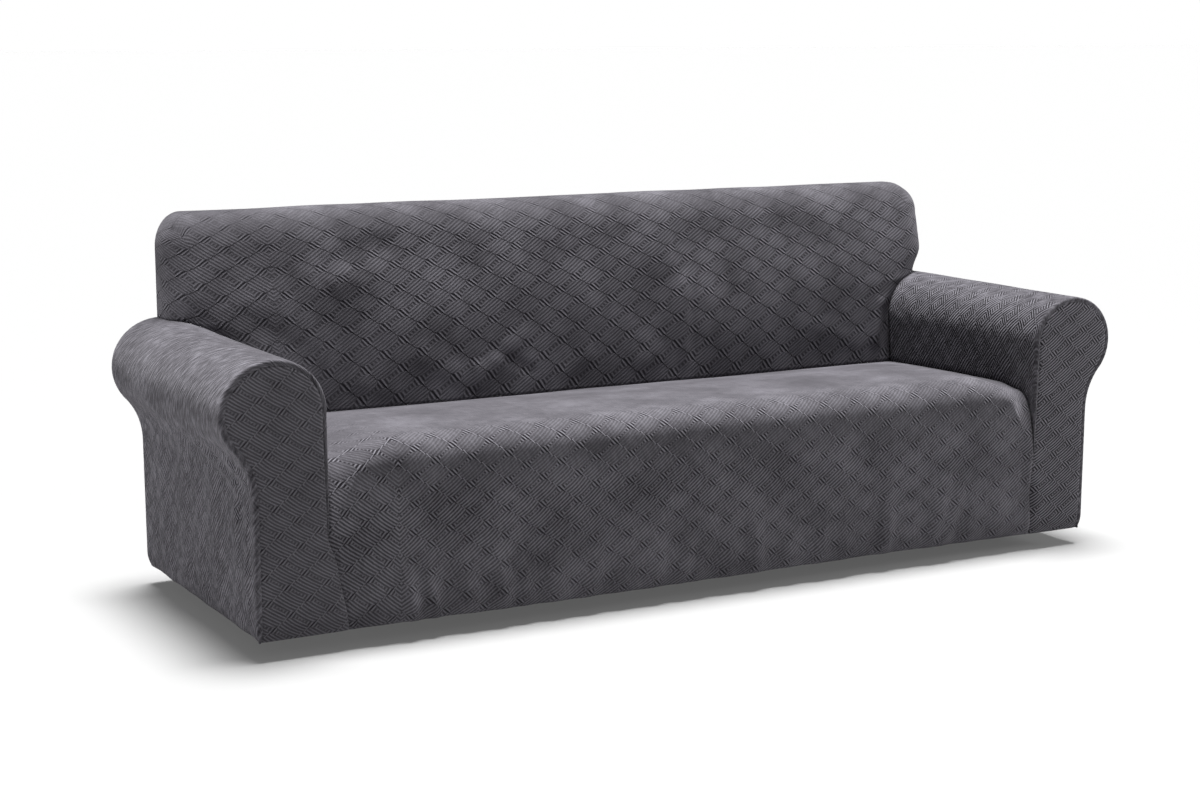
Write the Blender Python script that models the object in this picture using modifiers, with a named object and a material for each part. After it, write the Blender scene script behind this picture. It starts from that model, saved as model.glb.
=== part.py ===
"""Fitted stretch cover for a three-seat sofa with rolled arms.

Seven cut panels, each a thin shell of knitted cloth in the shape it takes over the sofa. The sofa itself
isn't modelled, so the cover is hollow and open underneath. X runs along the sofa, Y from front to back and
Z up. The origin is in the middle of the footprint at the height of the hem.
"""

import math

import bmesh
import bpy
from mathutils import Vector

# Cloth and seams
CLOTH = 0.0025
SEAM_GAP = 0.0006
SEAM_FLAT = 0.003

# Overall
HALF_DEPTH = 0.375

# Rolled arm, seen from the front: an oval roll on a flat wall
ROLL_OUT = 1.035
ROLL_UP = 0.473
ROLL_HALF_WIDTH = 0.115
ROLL_HALF_HEIGHT = 0.11
INNER_STEPS = 5
FOOT = 4
JUNCTION = 9
ROLL_DEGREES = (-90, -75, -60, -45, -28.57, -22, -15, -8, -2, 2.5, 15, 30, 45, 60, 75, 90, 103, 116, 128)
UNDER_STEPS = 3
WALL_TOP = 0.30
WALL_OUT_TOP = 1.084
WALL_OUT_HEM = 1.083
NECK_UP = 0.362
WALL_HEIGHTS = (0.25, 0.20, 0.15, 0.10, 0.04, 0.008, 0.0)
ARM_EDGE = 0.010
ARM_SEAM_INSET = 0.012
ARM_SEAM_INSET_LOW = 0.006
SHOULDER = 45

# Seat: a crowned deck that turns down over the front edge into the skirt
SEAT_HALF = 0.92
SEAT_REAR = 0.21
SEAT_CREASE_UP = 0.355
SEAT_CROWN = 0.042
SEAT_CROWN_AT = -0.26
SEAT_EDGE_REACH = 0.060
SEAT_SIDE_START = 0.76
SEAT_SIDE_CROWN = 0.26
SEAT_CORNER_DROP = 0.010
SEAT_CORNER_UP = 0.20
SEAT_CORNER_REACH = 0.042
SKIRT_PLANE = -0.370
DECK_STEPS = 5
EDGE_STEPS = 4
SKIRT_HEIGHTS = (0.342, 0.27, 0.205, 0.145, 0.09, 0.045, 0.012, 0.0)
SEAT_COLUMNS = 64
SEAT_END_OFFSETS = (0.0, 0.006, 0.016, 0.032, 0.056)
SEAT_CORNER_WIDTH = 0.024

# Back: a leaning face that rolls over the top and round both sides
CORE_HALF = 0.98
CORE_TOP = 0.742
BACK_ROUND = 0.08
BACK_ROUND_LEFT = 0.060
BACK_ROUND_RIGHT = 0.092
BACK_ROUND_DEPTH = 0.065
BACK_LEAN = 0.065
BACK_CROWN = 0.010
BACK_OVER_START = 0.38
ARM_TOP_WIDTH = 1.04
SIDE_HEIGHTS = (0.61, 0.65, 0.70, CORE_TOP)
BACK_COLUMNS = 26
REAR_COLUMNS = 10
CORNER_STEPS = 6
REAR_EDGE = 0.014
REAR_TURNS = (0.0, 0.5, 1.0, 2.0)
CREVICE_SINK = 0.008
CREVICE_WIDTH = 0.030
CREVICE_DEPTH = 0.009

# Hem: drawn a little under by its elastic, and not quite level
HEM_CURL = 0.009
HEM_CURL_HEIGHT = 0.035
HEM_LIFT = 0.003
HEM_SLACK = 0.25

# Seam between the arm's front panel and the skirt: height, distance out on the left, distance out on the right
FRONT_SEAM = (
    (0.200, 0.9230, 0.9230),
    (0.150, 0.9060, 0.9180),
    (0.073, 0.8910, 0.9200),
    (0.000, 0.8780, 0.9200),
)

# Gathers in the skirt: where at the hem, lean of the fold, half width, height it fades out at, depth
GATHERS = (
    (-0.800, -0.10, 0.030, 0.16, 0.0020),
    (-0.730, -0.20, 0.016, 0.15, 0.0050),
    (-0.682, -0.18, 0.015, 0.14, 0.0045),
    (-0.592, -0.25, 0.022, 0.17, 0.0030),
    (-0.520, -0.15, 0.020, 0.20, 0.0040),
    (-0.470, -0.04, 0.018, 0.13, 0.0035),
    (-0.400, 0.05, 0.022, 0.18, 0.0030),
    (-0.318, 0.25, 0.020, 0.17, 0.0040),
    (-0.240, 0.20, 0.022, 0.20, 0.0025),
    (-0.150, 0.15, 0.022, 0.14, 0.0030),
    (-0.080, 0.25, 0.020, 0.18, 0.0040),
    (-0.040, 0.30, 0.018, 0.17, 0.0035),
    (0.040, 0.10, 0.024, 0.16, 0.0025),
    (0.122, -0.10, 0.022, 0.20, 0.0040),
    (0.210, 0.05, 0.024, 0.15, 0.0025),
    (0.290, 0.10, 0.022, 0.19, 0.0030),
    (0.360, 0.08, 0.022, 0.16, 0.0025),
    (0.480, 0.07, 0.022, 0.24, 0.0050),
    (0.612, 0.30, 0.022, 0.24, 0.0055),
    (0.650, 0.38, 0.018, 0.22, 0.0050),
    (0.730, 0.15, 0.026, 0.18, 0.0025),
    (0.820, 0.10, 0.030, 0.15, 0.0020),
)

# Soft folds hanging in the arm's outer wall: where along the arm at the hem, lean, half width, top, bottom, depth
ARM_FOLDS = (
    (-0.330, 0.20, 0.030, 0.40, 0.05, 0.0050),
    (-0.250, -0.10, 0.035, 0.38, 0.00, 0.0040),
    (-0.150, 0.12, 0.045, 0.42, 0.04, 0.0045),
    (-0.030, 0.05, 0.040, 0.36, 0.00, 0.0035),
    (0.090, -0.08, 0.045, 0.42, 0.02, 0.0045),
    (0.210, 0.10, 0.040, 0.40, 0.00, 0.0040),
    (0.300, 0.00, 0.030, 0.36, 0.06, 0.0030),
)

COVER_GREY = (0.072, 0.070, 0.076, 1.0)


def smooth(t):
    """0 to 1 with a soft start and end."""
    t = min(1.0, max(0.0, t))
    return t * t * (3.0 - 2.0 * t)


def between(a, b, t):
    return a + (b - a) * t


def bump(distance, half_width):
    return math.exp(-((distance / half_width) ** 2))


def quarter_turn(share, start=0.0):
    """How far the surface has turned down at a share of the way across a rounded edge.

    The edge is a quarter round, or what is left of one after a start, where it already slopes.
    """
    before = 1.0 - math.sqrt(1.0 - start * start)
    along = between(start, 1.0, share)
    return (1.0 - math.sqrt(max(0.0, 1.0 - along * along)) - before) / (1.0 - before)


# ---- shared shape of the cover


def deck_height(x, y):
    """Top of the seat, before it turns over the front edge. It lies almost flat beside the arms."""
    reach = min(1.0, max(0.0, (y - SEAT_CROWN_AT) / (SEAT_REAR - SEAT_CROWN_AT)))
    beside = smooth((abs(x) - SEAT_SIDE_START) / (SEAT_HALF - SEAT_SIDE_START))
    crown = SEAT_CROWN * between(1.0, SEAT_SIDE_CROWN, beside) * (1.0 - reach**2)
    return SEAT_CREASE_UP + crown - SEAT_CORNER_DROP * beside * smooth((-y - 0.24) / 0.07)


def skirt_height(z, seam_distance):
    """Height on the skirt, whose upper corners are drawn down into the creases beside the arms."""
    return z * between(1.0, SEAT_CORNER_UP / SKIRT_HEIGHTS[0], bump(seam_distance, SEAT_CORNER_REACH))


def seat_edge(x, share):
    """Depth and height where the seat turns over its front edge, share going from deck to skirt."""
    start = SKIRT_PLANE + SEAT_EDGE_REACH
    front = between(SKIRT_PLANE, -HALF_DEPTH, bump(SEAT_HALF - abs(x), SEAT_CORNER_WIDTH))
    low = skirt_height(SKIRT_HEIGHTS[0], SEAT_HALF - min(SEAT_HALF, abs(x)))
    angle = math.radians(90.0 * share)
    return between(start, front, math.sin(angle)), between(low, deck_height(x, start), math.cos(angle))


def seat_edge_line(y):
    """Height of the seat along the inner face of an arm, down its rounded front edge as well."""
    start = SKIRT_PLANE + SEAT_EDGE_REACH
    if y >= start:
        return deck_height(SEAT_HALF, y)
    share = math.asin(min(1.0, (start - y) / (start + HALF_DEPTH))) / math.radians(90.0)
    return seat_edge(SEAT_HALF, share)[1]


def arm_face_out(y):
    """Distance from the middle to the arm's inner face at seat height, round its front edge as well."""
    sine = min(1.0, max(0.0, (-HALF_DEPTH + ARM_EDGE - y) / ARM_EDGE))
    return SEAT_HALF + (ARM_SEAM_INSET_LOW - SEAM_FLAT) * quarter_turn(sine)


def back_face(z):
    """Depth of the leaning, slightly crowned front face of the back at a height."""
    share = (z - SEAT_CREASE_UP) / (CORE_TOP - SEAT_CREASE_UP)
    return SEAT_REAR + BACK_LEAN * share - BACK_CROWN * math.sin(math.pi * share)


def back_crevice(z):
    """How far the back's face sinks where it meets an arm."""
    return CREVICE_SINK * (1.0 - smooth((z - 0.56) / 0.09))


def back_round(side):
    """How far the back's rounded edge reaches out past its flat face."""
    return BACK_ROUND_LEFT if side < 0 else BACK_ROUND_RIGHT


def back_side_round(side, z):
    """The same at a height, drawn in to the width between the arms near their tops."""
    spread = smooth((z - ROLL_UP - ROLL_HALF_HEIGHT) / 0.07)
    return between(ARM_TOP_WIDTH - CORE_HALF, back_round(side), spread)


def front_seam_out(side, z):
    """Distance from the middle to the seam between skirt and arm front."""
    column = 1 if side < 0 else 2
    for upper, lower in zip(FRONT_SEAM, FRONT_SEAM[1:]):
        if z >= lower[0]:
            share = min(1.0, (z - lower[0]) / (upper[0] - lower[0]))
            return between(lower[column], upper[column], share)
    return FRONT_SEAM[-1][column]


def crevice_depth(z):
    """How far the seam between skirt and arm front lies behind the arm's front."""
    return CREVICE_DEPTH * smooth((SEAT_CORNER_UP - 0.03 - z) / 0.10) * between(0.2, 1.0, smooth(z / 0.14))


def hem_curl(z):
    """How far the elastic draws the cloth under, at a height above the hem."""
    return HEM_CURL * max(0.0, 1.0 - z / HEM_CURL_HEIGHT) ** 2


def lifted(x, y, z):
    """The hem rises and falls a little on its way round."""
    wave = 0.5 + 0.5 * math.sin(5.1 * x + 3.0 * y + 0.6)
    return z + HEM_LIFT * wave * (1.0 - smooth(z / HEM_SLACK))


# ---- the arm's outline, as (distance out, height, inward direction)


def roll_point(degrees):
    angle = math.radians(degrees)
    out = ROLL_OUT + ROLL_HALF_WIDTH * math.sin(angle)
    up = ROLL_UP + ROLL_HALF_HEIGHT * math.cos(angle)
    inward = Vector((-math.sin(angle) / ROLL_HALF_WIDTH, -math.cos(angle) / ROLL_HALF_HEIGHT)).normalized()
    return out, up, inward


def under_point(share):
    """Soft hollow from the underside of the roll into the wall."""
    out, up, inward = roll_point(ROLL_DEGREES[-1])
    start, bend, end = Vector((out, up)), Vector((WALL_OUT_TOP, NECK_UP)), Vector((WALL_OUT_TOP, WALL_TOP))
    point = start * (1 - share) ** 2 + bend * 2 * share * (1 - share) + end * share**2
    return point.x, point.y, inward.lerp(Vector((-1.0, 0.0)), share).normalized()


def wall_point(height):
    return between(WALL_OUT_HEM, WALL_OUT_TOP, height / WALL_TOP), height, Vector((-1.0, 0.0))


def arm_outline():
    """Stations from the seat over the roll to the hem. An inner one is a share of the way up to the roll."""
    stations = [("inner", step / INNER_STEPS) for step in range(INNER_STEPS)]
    stations += [("roll", degrees) for degrees in ROLL_DEGREES]
    stations += [("under", step / UNDER_STEPS) for step in range(1, UNDER_STEPS + 1)]
    stations += [("wall", height) for height in WALL_HEIGHTS]
    return stations


def outline_point(station, seat_up):
    kind, value = station
    if kind == "inner":
        return SEAT_HALF, between(seat_up, ROLL_UP, value), Vector((1.0, 0.0))
    return {"roll": roll_point, "under": under_point, "wall": wall_point}[kind](value)


def rises(station):
    """0 where the arm meets the seat, 1 from a hand's width above it."""
    kind, value = station
    return value if kind == "inner" else 1.0


def turned(turn, reach):
    """Round a right-angled edge, turn going from 0 to 1, then to 2 over the flat strip that the seam needs.

    Gives how far the cloth has come in from the side, how far towards the end face, and which way it faces.
    """
    angle = math.radians(90.0 * min(1.0, turn))
    across = (1.0 - math.cos(angle)) * reach + SEAM_FLAT * max(0.0, turn - 1.0)
    return across, math.sin(angle), Vector((-math.cos(angle), math.sin(angle)))


def arm_front_edge(station, turn):
    """Point on the rounded front edge of the arm, from its side round to the seam."""
    inset = between(ARM_SEAM_INSET_LOW, ARM_SEAM_INSET, smooth(rises(station)))
    across, along, facing = turned(turn, inset - SEAM_FLAT)
    y = -HALF_DEPTH + ARM_EDGE * (1.0 - along)
    out, up, inward = outline_point(station, seat_edge_line(y))
    curl = facing * hem_curl(up)
    up += 2.0 * SEAM_FLAT * max(0.0, turn - 1.0) * (1.0 - rises(station))
    return out + inward.x * across + curl.x, y + curl.y, up + inward.y * across


def rear_edge(station, turn):
    """Point on the rounded rear edge, from the side round to the seam with the outside back."""
    out, up, inward = outline_point(station, SEAT_CREASE_UP)
    if station[0] == "roll":
        inward = rear_inward(inward, station[1])
    across, along, facing = turned(turn, REAR_EDGE)
    curl = facing * hem_curl(up)
    y = HALF_DEPTH - REAR_EDGE * (1.0 - along) - curl.y
    return out + inward.x * across + curl.x, y, up + inward.y * across


def rear_inward(inward, degrees):
    """Inward direction at the rear of the roll, mitred where the arm meets the side of the back."""
    mitre = bump(degrees - ROLL_DEGREES[JUNCTION], 20.0)
    return inward + Vector((inward.y, -inward.x)) * mitre


def back_side_inward(z):
    """The same mitre, on the side of the back."""
    corner = rear_inward(roll_point(ROLL_DEGREES[JUNCTION])[2], ROLL_DEGREES[JUNCTION])
    return Vector((-1.0, 0.0)).lerp(corner, bump(z - ROLL_UP - ROLL_HALF_HEIGHT, 0.035))


# ---- building a panel


def new_panel(name, columns, rows, place, collection, keep=None, flip=False):
    """Bends a flat grid into a panel, trims its edge back for the seams and gives it the cloth's thickness."""
    mesh = bpy.data.meshes.new(name)
    panel = bpy.data.objects.new(name, mesh)
    collection.objects.link(panel)
    bm = bmesh.new()
    bmesh.ops.create_grid(bm, x_segments=columns, y_segments=rows, size=0.5)
    spots = {v: (round((v.co.x + 0.5) * columns), round((v.co.y + 0.5) * rows)) for v in bm.verts}
    if keep:
        lowest = {f: [min(spots[v][axis] for v in f.verts) for axis in (0, 1)] for f in bm.faces}
        notch = [f for f in bm.faces if not keep(*lowest[f])]
        bmesh.ops.delete(bm, geom=notch, context="FACES")
    for v in bm.verts:
        v.co = place(*spots[v])
    if flip:
        bmesh.ops.reverse_faces(bm, faces=bm.faces)
    trim_for_seams(bm)
    bm.to_mesh(mesh)
    bm.free()
    mesh.shade_smooth()
    thickness = panel.modifiers.new("Cloth thickness", "SOLIDIFY")
    thickness.thickness = CLOTH
    thickness.offset = -1.0
    mesh.materials.append(cloth_material(name))
    return panel


def trim_for_seams(bm):
    """Moves each edge of the panel into it by half the seam gap."""
    moves = {}
    for edge in bm.edges:
        if not edge.is_boundary:
            continue
        start, end = edge.verts
        along = (end.co - start.co).normalized()
        into = edge.link_faces[0].calc_center_median() - start.co
        into = (into - along * into.dot(along)).normalized()
        for v in edge.verts:
            moves.setdefault(v, []).append(into)
    for v, sides in moves.items():
        middle = sum(sides, Vector()) / len(sides)
        v.co += middle * SEAM_GAP / 2 / middle.length_squared


def cloth_material(name):
    material = bpy.data.materials.new(name + " jacquard knit")
    material.use_nodes = True
    cloth = material.node_tree.nodes["Principled BSDF"]
    cloth.inputs["Base Color"].default_value = COVER_GREY
    cloth.inputs["Roughness"].default_value = 0.9
    cloth.inputs["Metallic"].default_value = 0.0
    return material


# ---- the panels


def add_arm(side, collection):
    """Arm sleeve: from the seat up the inner face, over the roll and down the outer wall."""
    stations = arm_outline()
    junction = INNER_STEPS + JUNCTION
    front_turns = (2.0, 1.0, 0.5)
    seat_start = SKIRT_PLANE + SEAT_EDGE_REACH
    run_starts = (-HALF_DEPTH + ARM_EDGE, seat_start - 0.046, seat_start - 0.0249)
    run = 8
    notch_column = len(front_turns) + len(run_starts) + run

    def run_end(row):
        """The sleeve stops at the front of the back, which turns the corner on top of the roll."""
        out, up, _ = outline_point(stations[min(row, junction)], SEAT_CREASE_UP)
        if out <= CORE_HALF:
            return back_face(up) + back_crevice(up)
        return side_turn(roll_point(ROLL_DEGREES[FOOT])[1], foot_share(out))

    def place(column, row):
        station = stations[row]
        if column < len(front_turns):
            out, y, up = arm_front_edge(station, front_turns[column])
        elif column <= notch_column:
            step = column - len(front_turns)
            if step < len(run_starts):
                y = run_starts[step]
            else:
                y = between(seat_start, run_end(row), (step - len(run_starts)) / run)
            out, up, _ = outline_point(station, seat_edge_line(y))
            out -= hem_curl(up)
        else:
            out, y, up = rear_edge(station, REAR_TURNS[column - notch_column - 1])
        if station[0] in ("under", "wall"):
            out += arm_fold(y, up)
        return Vector((side * out, y, lifted(side * out, y, up)))

    def keep(column, row):
        return column < notch_column or row >= junction

    name = "arm_left" if side < 0 else "arm_right"
    columns = notch_column + len(REAR_TURNS)
    new_panel(name, columns, len(stations) - 1, place, collection, keep, flip=side > 0)


def arm_fold(y, z):
    """Relief of the soft folds in the outer wall, none at the seams."""
    relief = -0.003 * smooth((0.40 - z) / 0.1)
    for along, lean, half_width, top, bottom, depth in ARM_FOLDS:
        hang = smooth((top - z) / 0.12) * smooth((z - bottom + 0.06) / 0.10)
        relief += depth * hang * bump(y - along - lean * z, half_width)
    ends = smooth((y + HALF_DEPTH - ARM_EDGE) / 0.06) * smooth((HALF_DEPTH - REAR_EDGE - y) / 0.06)
    return relief * ends


def add_arm_front(side, collection):
    """Keyhole-shaped front of an arm, filled in between its four edges."""
    stations = arm_outline()
    left_shoulder = INNER_STEPS + ROLL_DEGREES.index(-SHOULDER)
    right_shoulder = INNER_STEPS + ROLL_DEGREES.index(SHOULDER)
    seams = [Vector(arm_front_edge(station, 2.0)) for station in stations]
    skirt_seam = [skirt_edge(side, skirt_height(z, 0.0)) for z in reversed(SKIRT_HEIGHTS)]
    inner = skirt_seam + seams[: left_shoulder + 1]
    over = seams[left_shoulder : right_shoulder + 1]
    outer = seams[right_shoulder:][::-1]
    columns, rows = len(over) - 1, len(inner) - 1
    shares = [smooth(0.5 + 0.42 * (2 * c / columns - 1)) for c in range(columns + 1)]
    shares = [(s - shares[0]) / (shares[-1] - shares[0]) for s in shares]

    def place(column, row):
        u, v = shares[column], row / rows
        hem = inner[0].lerp(outer[0], u)
        sides = inner[row].lerp(outer[row], u)
        ends = hem.lerp(over[column], v)
        corners = hem.lerp(inner[-1].lerp(outer[-1], u), v)
        point = sides + ends - corners
        sunk = inner[row].y + HALF_DEPTH - hem_curl(inner[row].z)
        point.y = -HALF_DEPTH + hem_curl(point.z) + sunk * bump(point.x - inner[row].x, 0.012)
        return Vector((side * point.x, point.y, lifted(side * point.x, point.y, point.z)))

    name = "arm_front_left" if side < 0 else "arm_front_right"
    new_panel(name, columns, rows, place, collection, flip=side < 0)


def skirt_edge(side, z):
    """Point on the seam between the skirt and an arm's front panel."""
    return Vector((front_seam_out(side, z), -HALF_DEPTH + crevice_depth(z) + hem_curl(z), z))


def add_seat(collection):
    """Deck and skirt in one piece, from the crease at the back over the front edge to the hem."""
    ends = len(SEAT_END_OFFSETS) - 1
    rows = DECK_STEPS + EDGE_STEPS + len(SKIRT_HEIGHTS) - 1

    def across(column, left, right):
        if column <= ends:
            return -left + SEAT_END_OFFSETS[column]
        if column >= SEAT_COLUMNS - ends:
            return right - SEAT_END_OFFSETS[SEAT_COLUMNS - column]
        share = (column - ends) / (SEAT_COLUMNS - 2 * ends)
        return between(-left + SEAT_END_OFFSETS[-1], right - SEAT_END_OFFSETS[-1], share)

    def place(column, row):
        if row <= DECK_STEPS:
            x = across(column, SEAT_HALF, SEAT_HALF)
            rear = SEAT_REAR + back_crevice(SEAT_CREASE_UP) * bump(SEAT_HALF - abs(x), CREVICE_WIDTH)
            y = between(rear, SKIRT_PLANE + SEAT_EDGE_REACH, row / DECK_STEPS)
            return Vector((x, y, deck_height(x, y)))
        if row < DECK_STEPS + EDGE_STEPS:
            share = (row - DECK_STEPS) / EDGE_STEPS
            half = arm_face_out(seat_edge(SEAT_HALF, share)[0])
            x = across(column, half, half)
            return Vector((x, *seat_edge(x, share)))
        level = SKIRT_HEIGHTS[row - DECK_STEPS - EDGE_STEPS]
        left, right = [skirt_edge(side, skirt_height(level, 0.0)) for side in (-1, 1)]
        x = across(column, left.x, right.x)
        seam_distance = min(x + left.x, right.x - x)
        z = skirt_height(level, seam_distance)
        width = between(0.012, SEAT_CORNER_WIDTH, smooth(level / SKIRT_HEIGHTS[0]))
        y = between(SKIRT_PLANE + hem_curl(z), left.y, bump(seam_distance, width))
        y -= gather(x, z) * smooth(seam_distance / 0.05)
        return Vector((x, y, lifted(x, y, z)))

    new_panel("seat", SEAT_COLUMNS, rows, place, collection, flip=True)


def gather(x, z):
    """Relief of the skirt's gathers, which stand out most just above the elastic."""
    relief = 0.0
    for at_hem, lean, half_width, top, depth in GATHERS:
        relief += depth * (1.0 - smooth(z / top)) * bump(x - at_hem - lean * z, half_width)
    return relief


def foot_share(out):
    return (out - CORE_HALF) / (ARM_TOP_WIDTH - CORE_HALF)


def side_turn(z, share, start=0.0):
    """Depth on the rounded side of the back, share going from its face to its flat side."""
    return back_face(z) + back_crevice(z) + BACK_ROUND_DEPTH * quarter_turn(min(1.0, share), start)


def add_inside_back(collection):
    """Face of the back, rolled over the top and round both sides, cut out below to fit between the arms."""
    stations = arm_outline()[: INNER_STEPS + FOOT + 1]
    foot_row = len(stations) - 1
    core_row = foot_row + len(SIDE_HEIGHTS)
    shares = [foot_share(roll_point(degrees)[0]) for degrees in ROLL_DEGREES[FOOT + 1 : JUNCTION + 1]]
    band = len(shares) + len(REAR_TURNS)
    columns = BACK_COLUMNS + 2 * band
    rows = core_row + band

    def rolled(step, z, width, inward, start=0.0):
        """How far out, how deep and how far up the cloth is, some steps round the edge of the back."""
        if step <= len(shares):
            return width * shares[step - 1], side_turn(z, shares[step - 1], start), 0.0
        across, along, _ = turned(REAR_TURNS[step - len(shares) - 1], REAR_EDGE)
        return width + inward.x * across, HALF_DEPTH - REAR_EDGE * (1.0 - along), inward.y * across

    def side_point(side, step, row):
        if row > foot_row:
            z = SIDE_HEIGHTS[row - foot_row - 1]
            out, y, lift = rolled(step, z, back_side_round(side, z), back_side_inward(z))
            return CORE_HALF + out, y, z + lift
        if step <= len(shares):
            out, up, _ = roll_point(ROLL_DEGREES[FOOT + step])
            return out, side_turn(stations_up[foot_row], foot_share(out)), up
        return rear_edge(("roll", ROLL_DEGREES[JUNCTION]), REAR_TURNS[step - len(shares) - 1])

    stations_up = [outline_point(station, SEAT_CREASE_UP)[1] for station in stations]

    def place(column, row):
        side = -1 if column < columns / 2 else 1
        across = (column - band) / BACK_COLUMNS * 2.0 - 1.0
        beside = max(0, band - column, column - band - BACK_COLUMNS)
        above = max(0, row - core_row)
        inward = Vector((-1.0, 0.0))
        if above and beside:
            step = max(above, beside)
            lean = 45.0 * above / beside if above <= beside else 90.0 - 45.0 * beside / above
            angle = math.radians(lean)
            out, y, _ = rolled(step, CORE_TOP, back_round(side), inward, BACK_OVER_START * lean / 90.0)
            up = rolled(step, CORE_TOP, BACK_ROUND, inward)[0]
            return Vector((side * (CORE_HALF + out * math.cos(angle)), y, CORE_TOP + up * math.sin(angle)))
        if above:
            out, y, _ = rolled(above, CORE_TOP, BACK_ROUND, inward, BACK_OVER_START)
            return Vector((across * CORE_HALF, y, CORE_TOP + out))
        if beside:
            out, y, z = side_point(side, beside, row)
            return Vector((side * out, y, z))
        edge, z = (CORE_HALF, SIDE_HEIGHTS[row - foot_row - 1]) if row > foot_row else (None, stations_up[row])
        edge = edge or outline_point(stations[row], SEAT_CREASE_UP)[0]
        x = across * edge
        return Vector((x, back_face(z) + back_crevice(z) * bump(edge - abs(x), CREVICE_WIDTH), z))

    def keep(column, row):
        return row >= foot_row or band <= column < band + BACK_COLUMNS

    new_panel("inside_back", columns, rows, place, collection, keep)


def add_outside_back(collection):
    """Flat rear panel: the outline of arms and back together."""
    stations = arm_outline()[INNER_STEPS + JUNCTION :][::-1]
    inset = REAR_EDGE + SEAM_FLAT

    def side_seam(side):
        seam = [rear_edge(station, 2.0) for station in stations]
        seam = [(out, up) for out, _, up in seam]
        for z in SIDE_HEIGHTS:
            inward = back_side_inward(z) * inset
            seam.append((CORE_HALF + back_side_round(side, z) + inward.x, z + inward.y))
        for step in range(1, CORNER_STEPS + 1):
            angle = math.radians(90.0 * step / CORNER_STEPS)
            out = CORE_HALF + (back_round(side) - inset) * math.cos(angle)
            seam.append((out, CORE_TOP + (BACK_ROUND - inset) * math.sin(angle)))
        return seam

    left, right = side_seam(-1), side_seam(1)

    def place(column, row):
        z = left[row][1]
        x = between(right[row][0], -left[row][0], column / REAR_COLUMNS)
        y = HALF_DEPTH - hem_curl(z)
        return Vector((x, y, lifted(x, y, z)))

    new_panel("outside_back", REAR_COLUMNS, len(left) - 1, place, collection)


def clear_scene():
    for thing in list(bpy.data.objects):
        bpy.data.objects.remove(thing, do_unlink=True)


def main():
    clear_scene()
    cover = bpy.data.collections.new("sofa_slipcover")
    bpy.context.scene.collection.children.link(cover)
    add_inside_back(cover)
    add_outside_back(cover)
    add_seat(cover)
    for side in (-1, 1):
        add_arm(side, cover)
        add_arm_front(side, cover)


main()
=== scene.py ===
import math

import bmesh
import bpy
import numpy as np
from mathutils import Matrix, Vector


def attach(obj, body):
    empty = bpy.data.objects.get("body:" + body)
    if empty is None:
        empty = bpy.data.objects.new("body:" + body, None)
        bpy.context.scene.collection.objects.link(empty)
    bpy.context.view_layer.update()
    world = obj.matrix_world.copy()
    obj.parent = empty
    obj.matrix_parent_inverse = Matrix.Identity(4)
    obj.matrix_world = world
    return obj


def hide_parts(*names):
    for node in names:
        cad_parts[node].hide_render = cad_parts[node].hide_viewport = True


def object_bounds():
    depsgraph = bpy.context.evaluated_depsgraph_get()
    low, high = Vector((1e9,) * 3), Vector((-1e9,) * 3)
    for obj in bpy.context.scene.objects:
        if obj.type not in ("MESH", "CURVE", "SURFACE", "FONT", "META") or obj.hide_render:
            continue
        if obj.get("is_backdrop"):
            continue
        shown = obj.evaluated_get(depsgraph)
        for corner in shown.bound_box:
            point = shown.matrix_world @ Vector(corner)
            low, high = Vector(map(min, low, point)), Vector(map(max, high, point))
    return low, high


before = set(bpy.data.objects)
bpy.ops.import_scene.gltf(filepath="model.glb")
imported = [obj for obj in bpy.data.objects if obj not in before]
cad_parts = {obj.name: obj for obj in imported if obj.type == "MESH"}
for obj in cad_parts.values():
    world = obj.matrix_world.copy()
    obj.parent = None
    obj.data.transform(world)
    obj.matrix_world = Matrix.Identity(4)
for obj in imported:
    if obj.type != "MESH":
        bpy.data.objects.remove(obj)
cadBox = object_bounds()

# Stretch jacquard cover for a long rolled-arm sofa: seven sewn panels, hollow inside.
# Metres throughout. X runs along the sofa, Y from front to back, and the hem is at Z 0.

cloth = {
    "thick": 0.002,
    "seamDip": 0.0016,     # how far a seam pulls both panels in
    "seamWidth": 0.005,
    "pucker": 0.00012,     # ripple that the stitches leave beside a seam
    "puckerEvery": 0.013,
    "puckerWide": 0.0125,
    "puckerWander": (2.0, 31.0),  # how far its spacing wanders, and how quickly
    "tuck": 0.0015,        # a sewn edge runs on this far under its neighbour
    "tuckFull": 0.03,      # height above the hem from which it does
    "uneven": 0.0012,      # wide, slow unevenness of cloth over foam
    # waves in it: strength, radians in a metre along and across, share of the panel's own shift
    "waves": [
        (1.0, 9.1, 5.3, 1.0),
        (1.0, -6.7, 14.9, 2.0),
        (0.7, 21.0, 11.0, 3.1),
        (0.5, -27.0, 23.0, 1.0),
    ],
}


def smooth(t):
    t = min(1.0, max(0.0, t))
    return t * t * (3.0 - 2.0 * t)


def between(a, b, t):
    return a + (b - a) * t


def bump(away, width):
    return math.exp(-((away / width) ** 2))


def steps(start, end, count, last=False):
    marks = [between(start, end, i / count) for i in range(count)]
    return marks + [end] if last else marks


def quarterTurn(share, start=0.0):
    # a quarter round, or what is left of one past a start where it already slopes
    before = 1.0 - math.sqrt(1.0 - start * start)
    along = between(start, 1.0, share)
    return (1.0 - math.sqrt(max(0.0, 1.0 - along * along)) - before) / (1.0 - before)


camera = {
    "place": (-2.509, -4.406, 1.240),
    "lens": 64.7,
    "sensor": 36.0,
    "down": 9.869,         # degrees below level
    "round": 28.818,       # degrees round from straight ahead
}


def addCamera():
    data = bpy.data.cameras.new("camera")
    data.lens = camera["lens"]
    data.sensor_width = camera["sensor"]
    eye = bpy.data.objects.new("camera", data)
    eye.location = camera["place"]
    eye.rotation_euler = (math.radians(90 - camera["down"]), 0, -math.radians(camera["round"]))
    bpy.context.collection.objects.link(eye)
    bpy.context.scene.camera = eye


addCamera()
print("camera placed")

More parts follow.
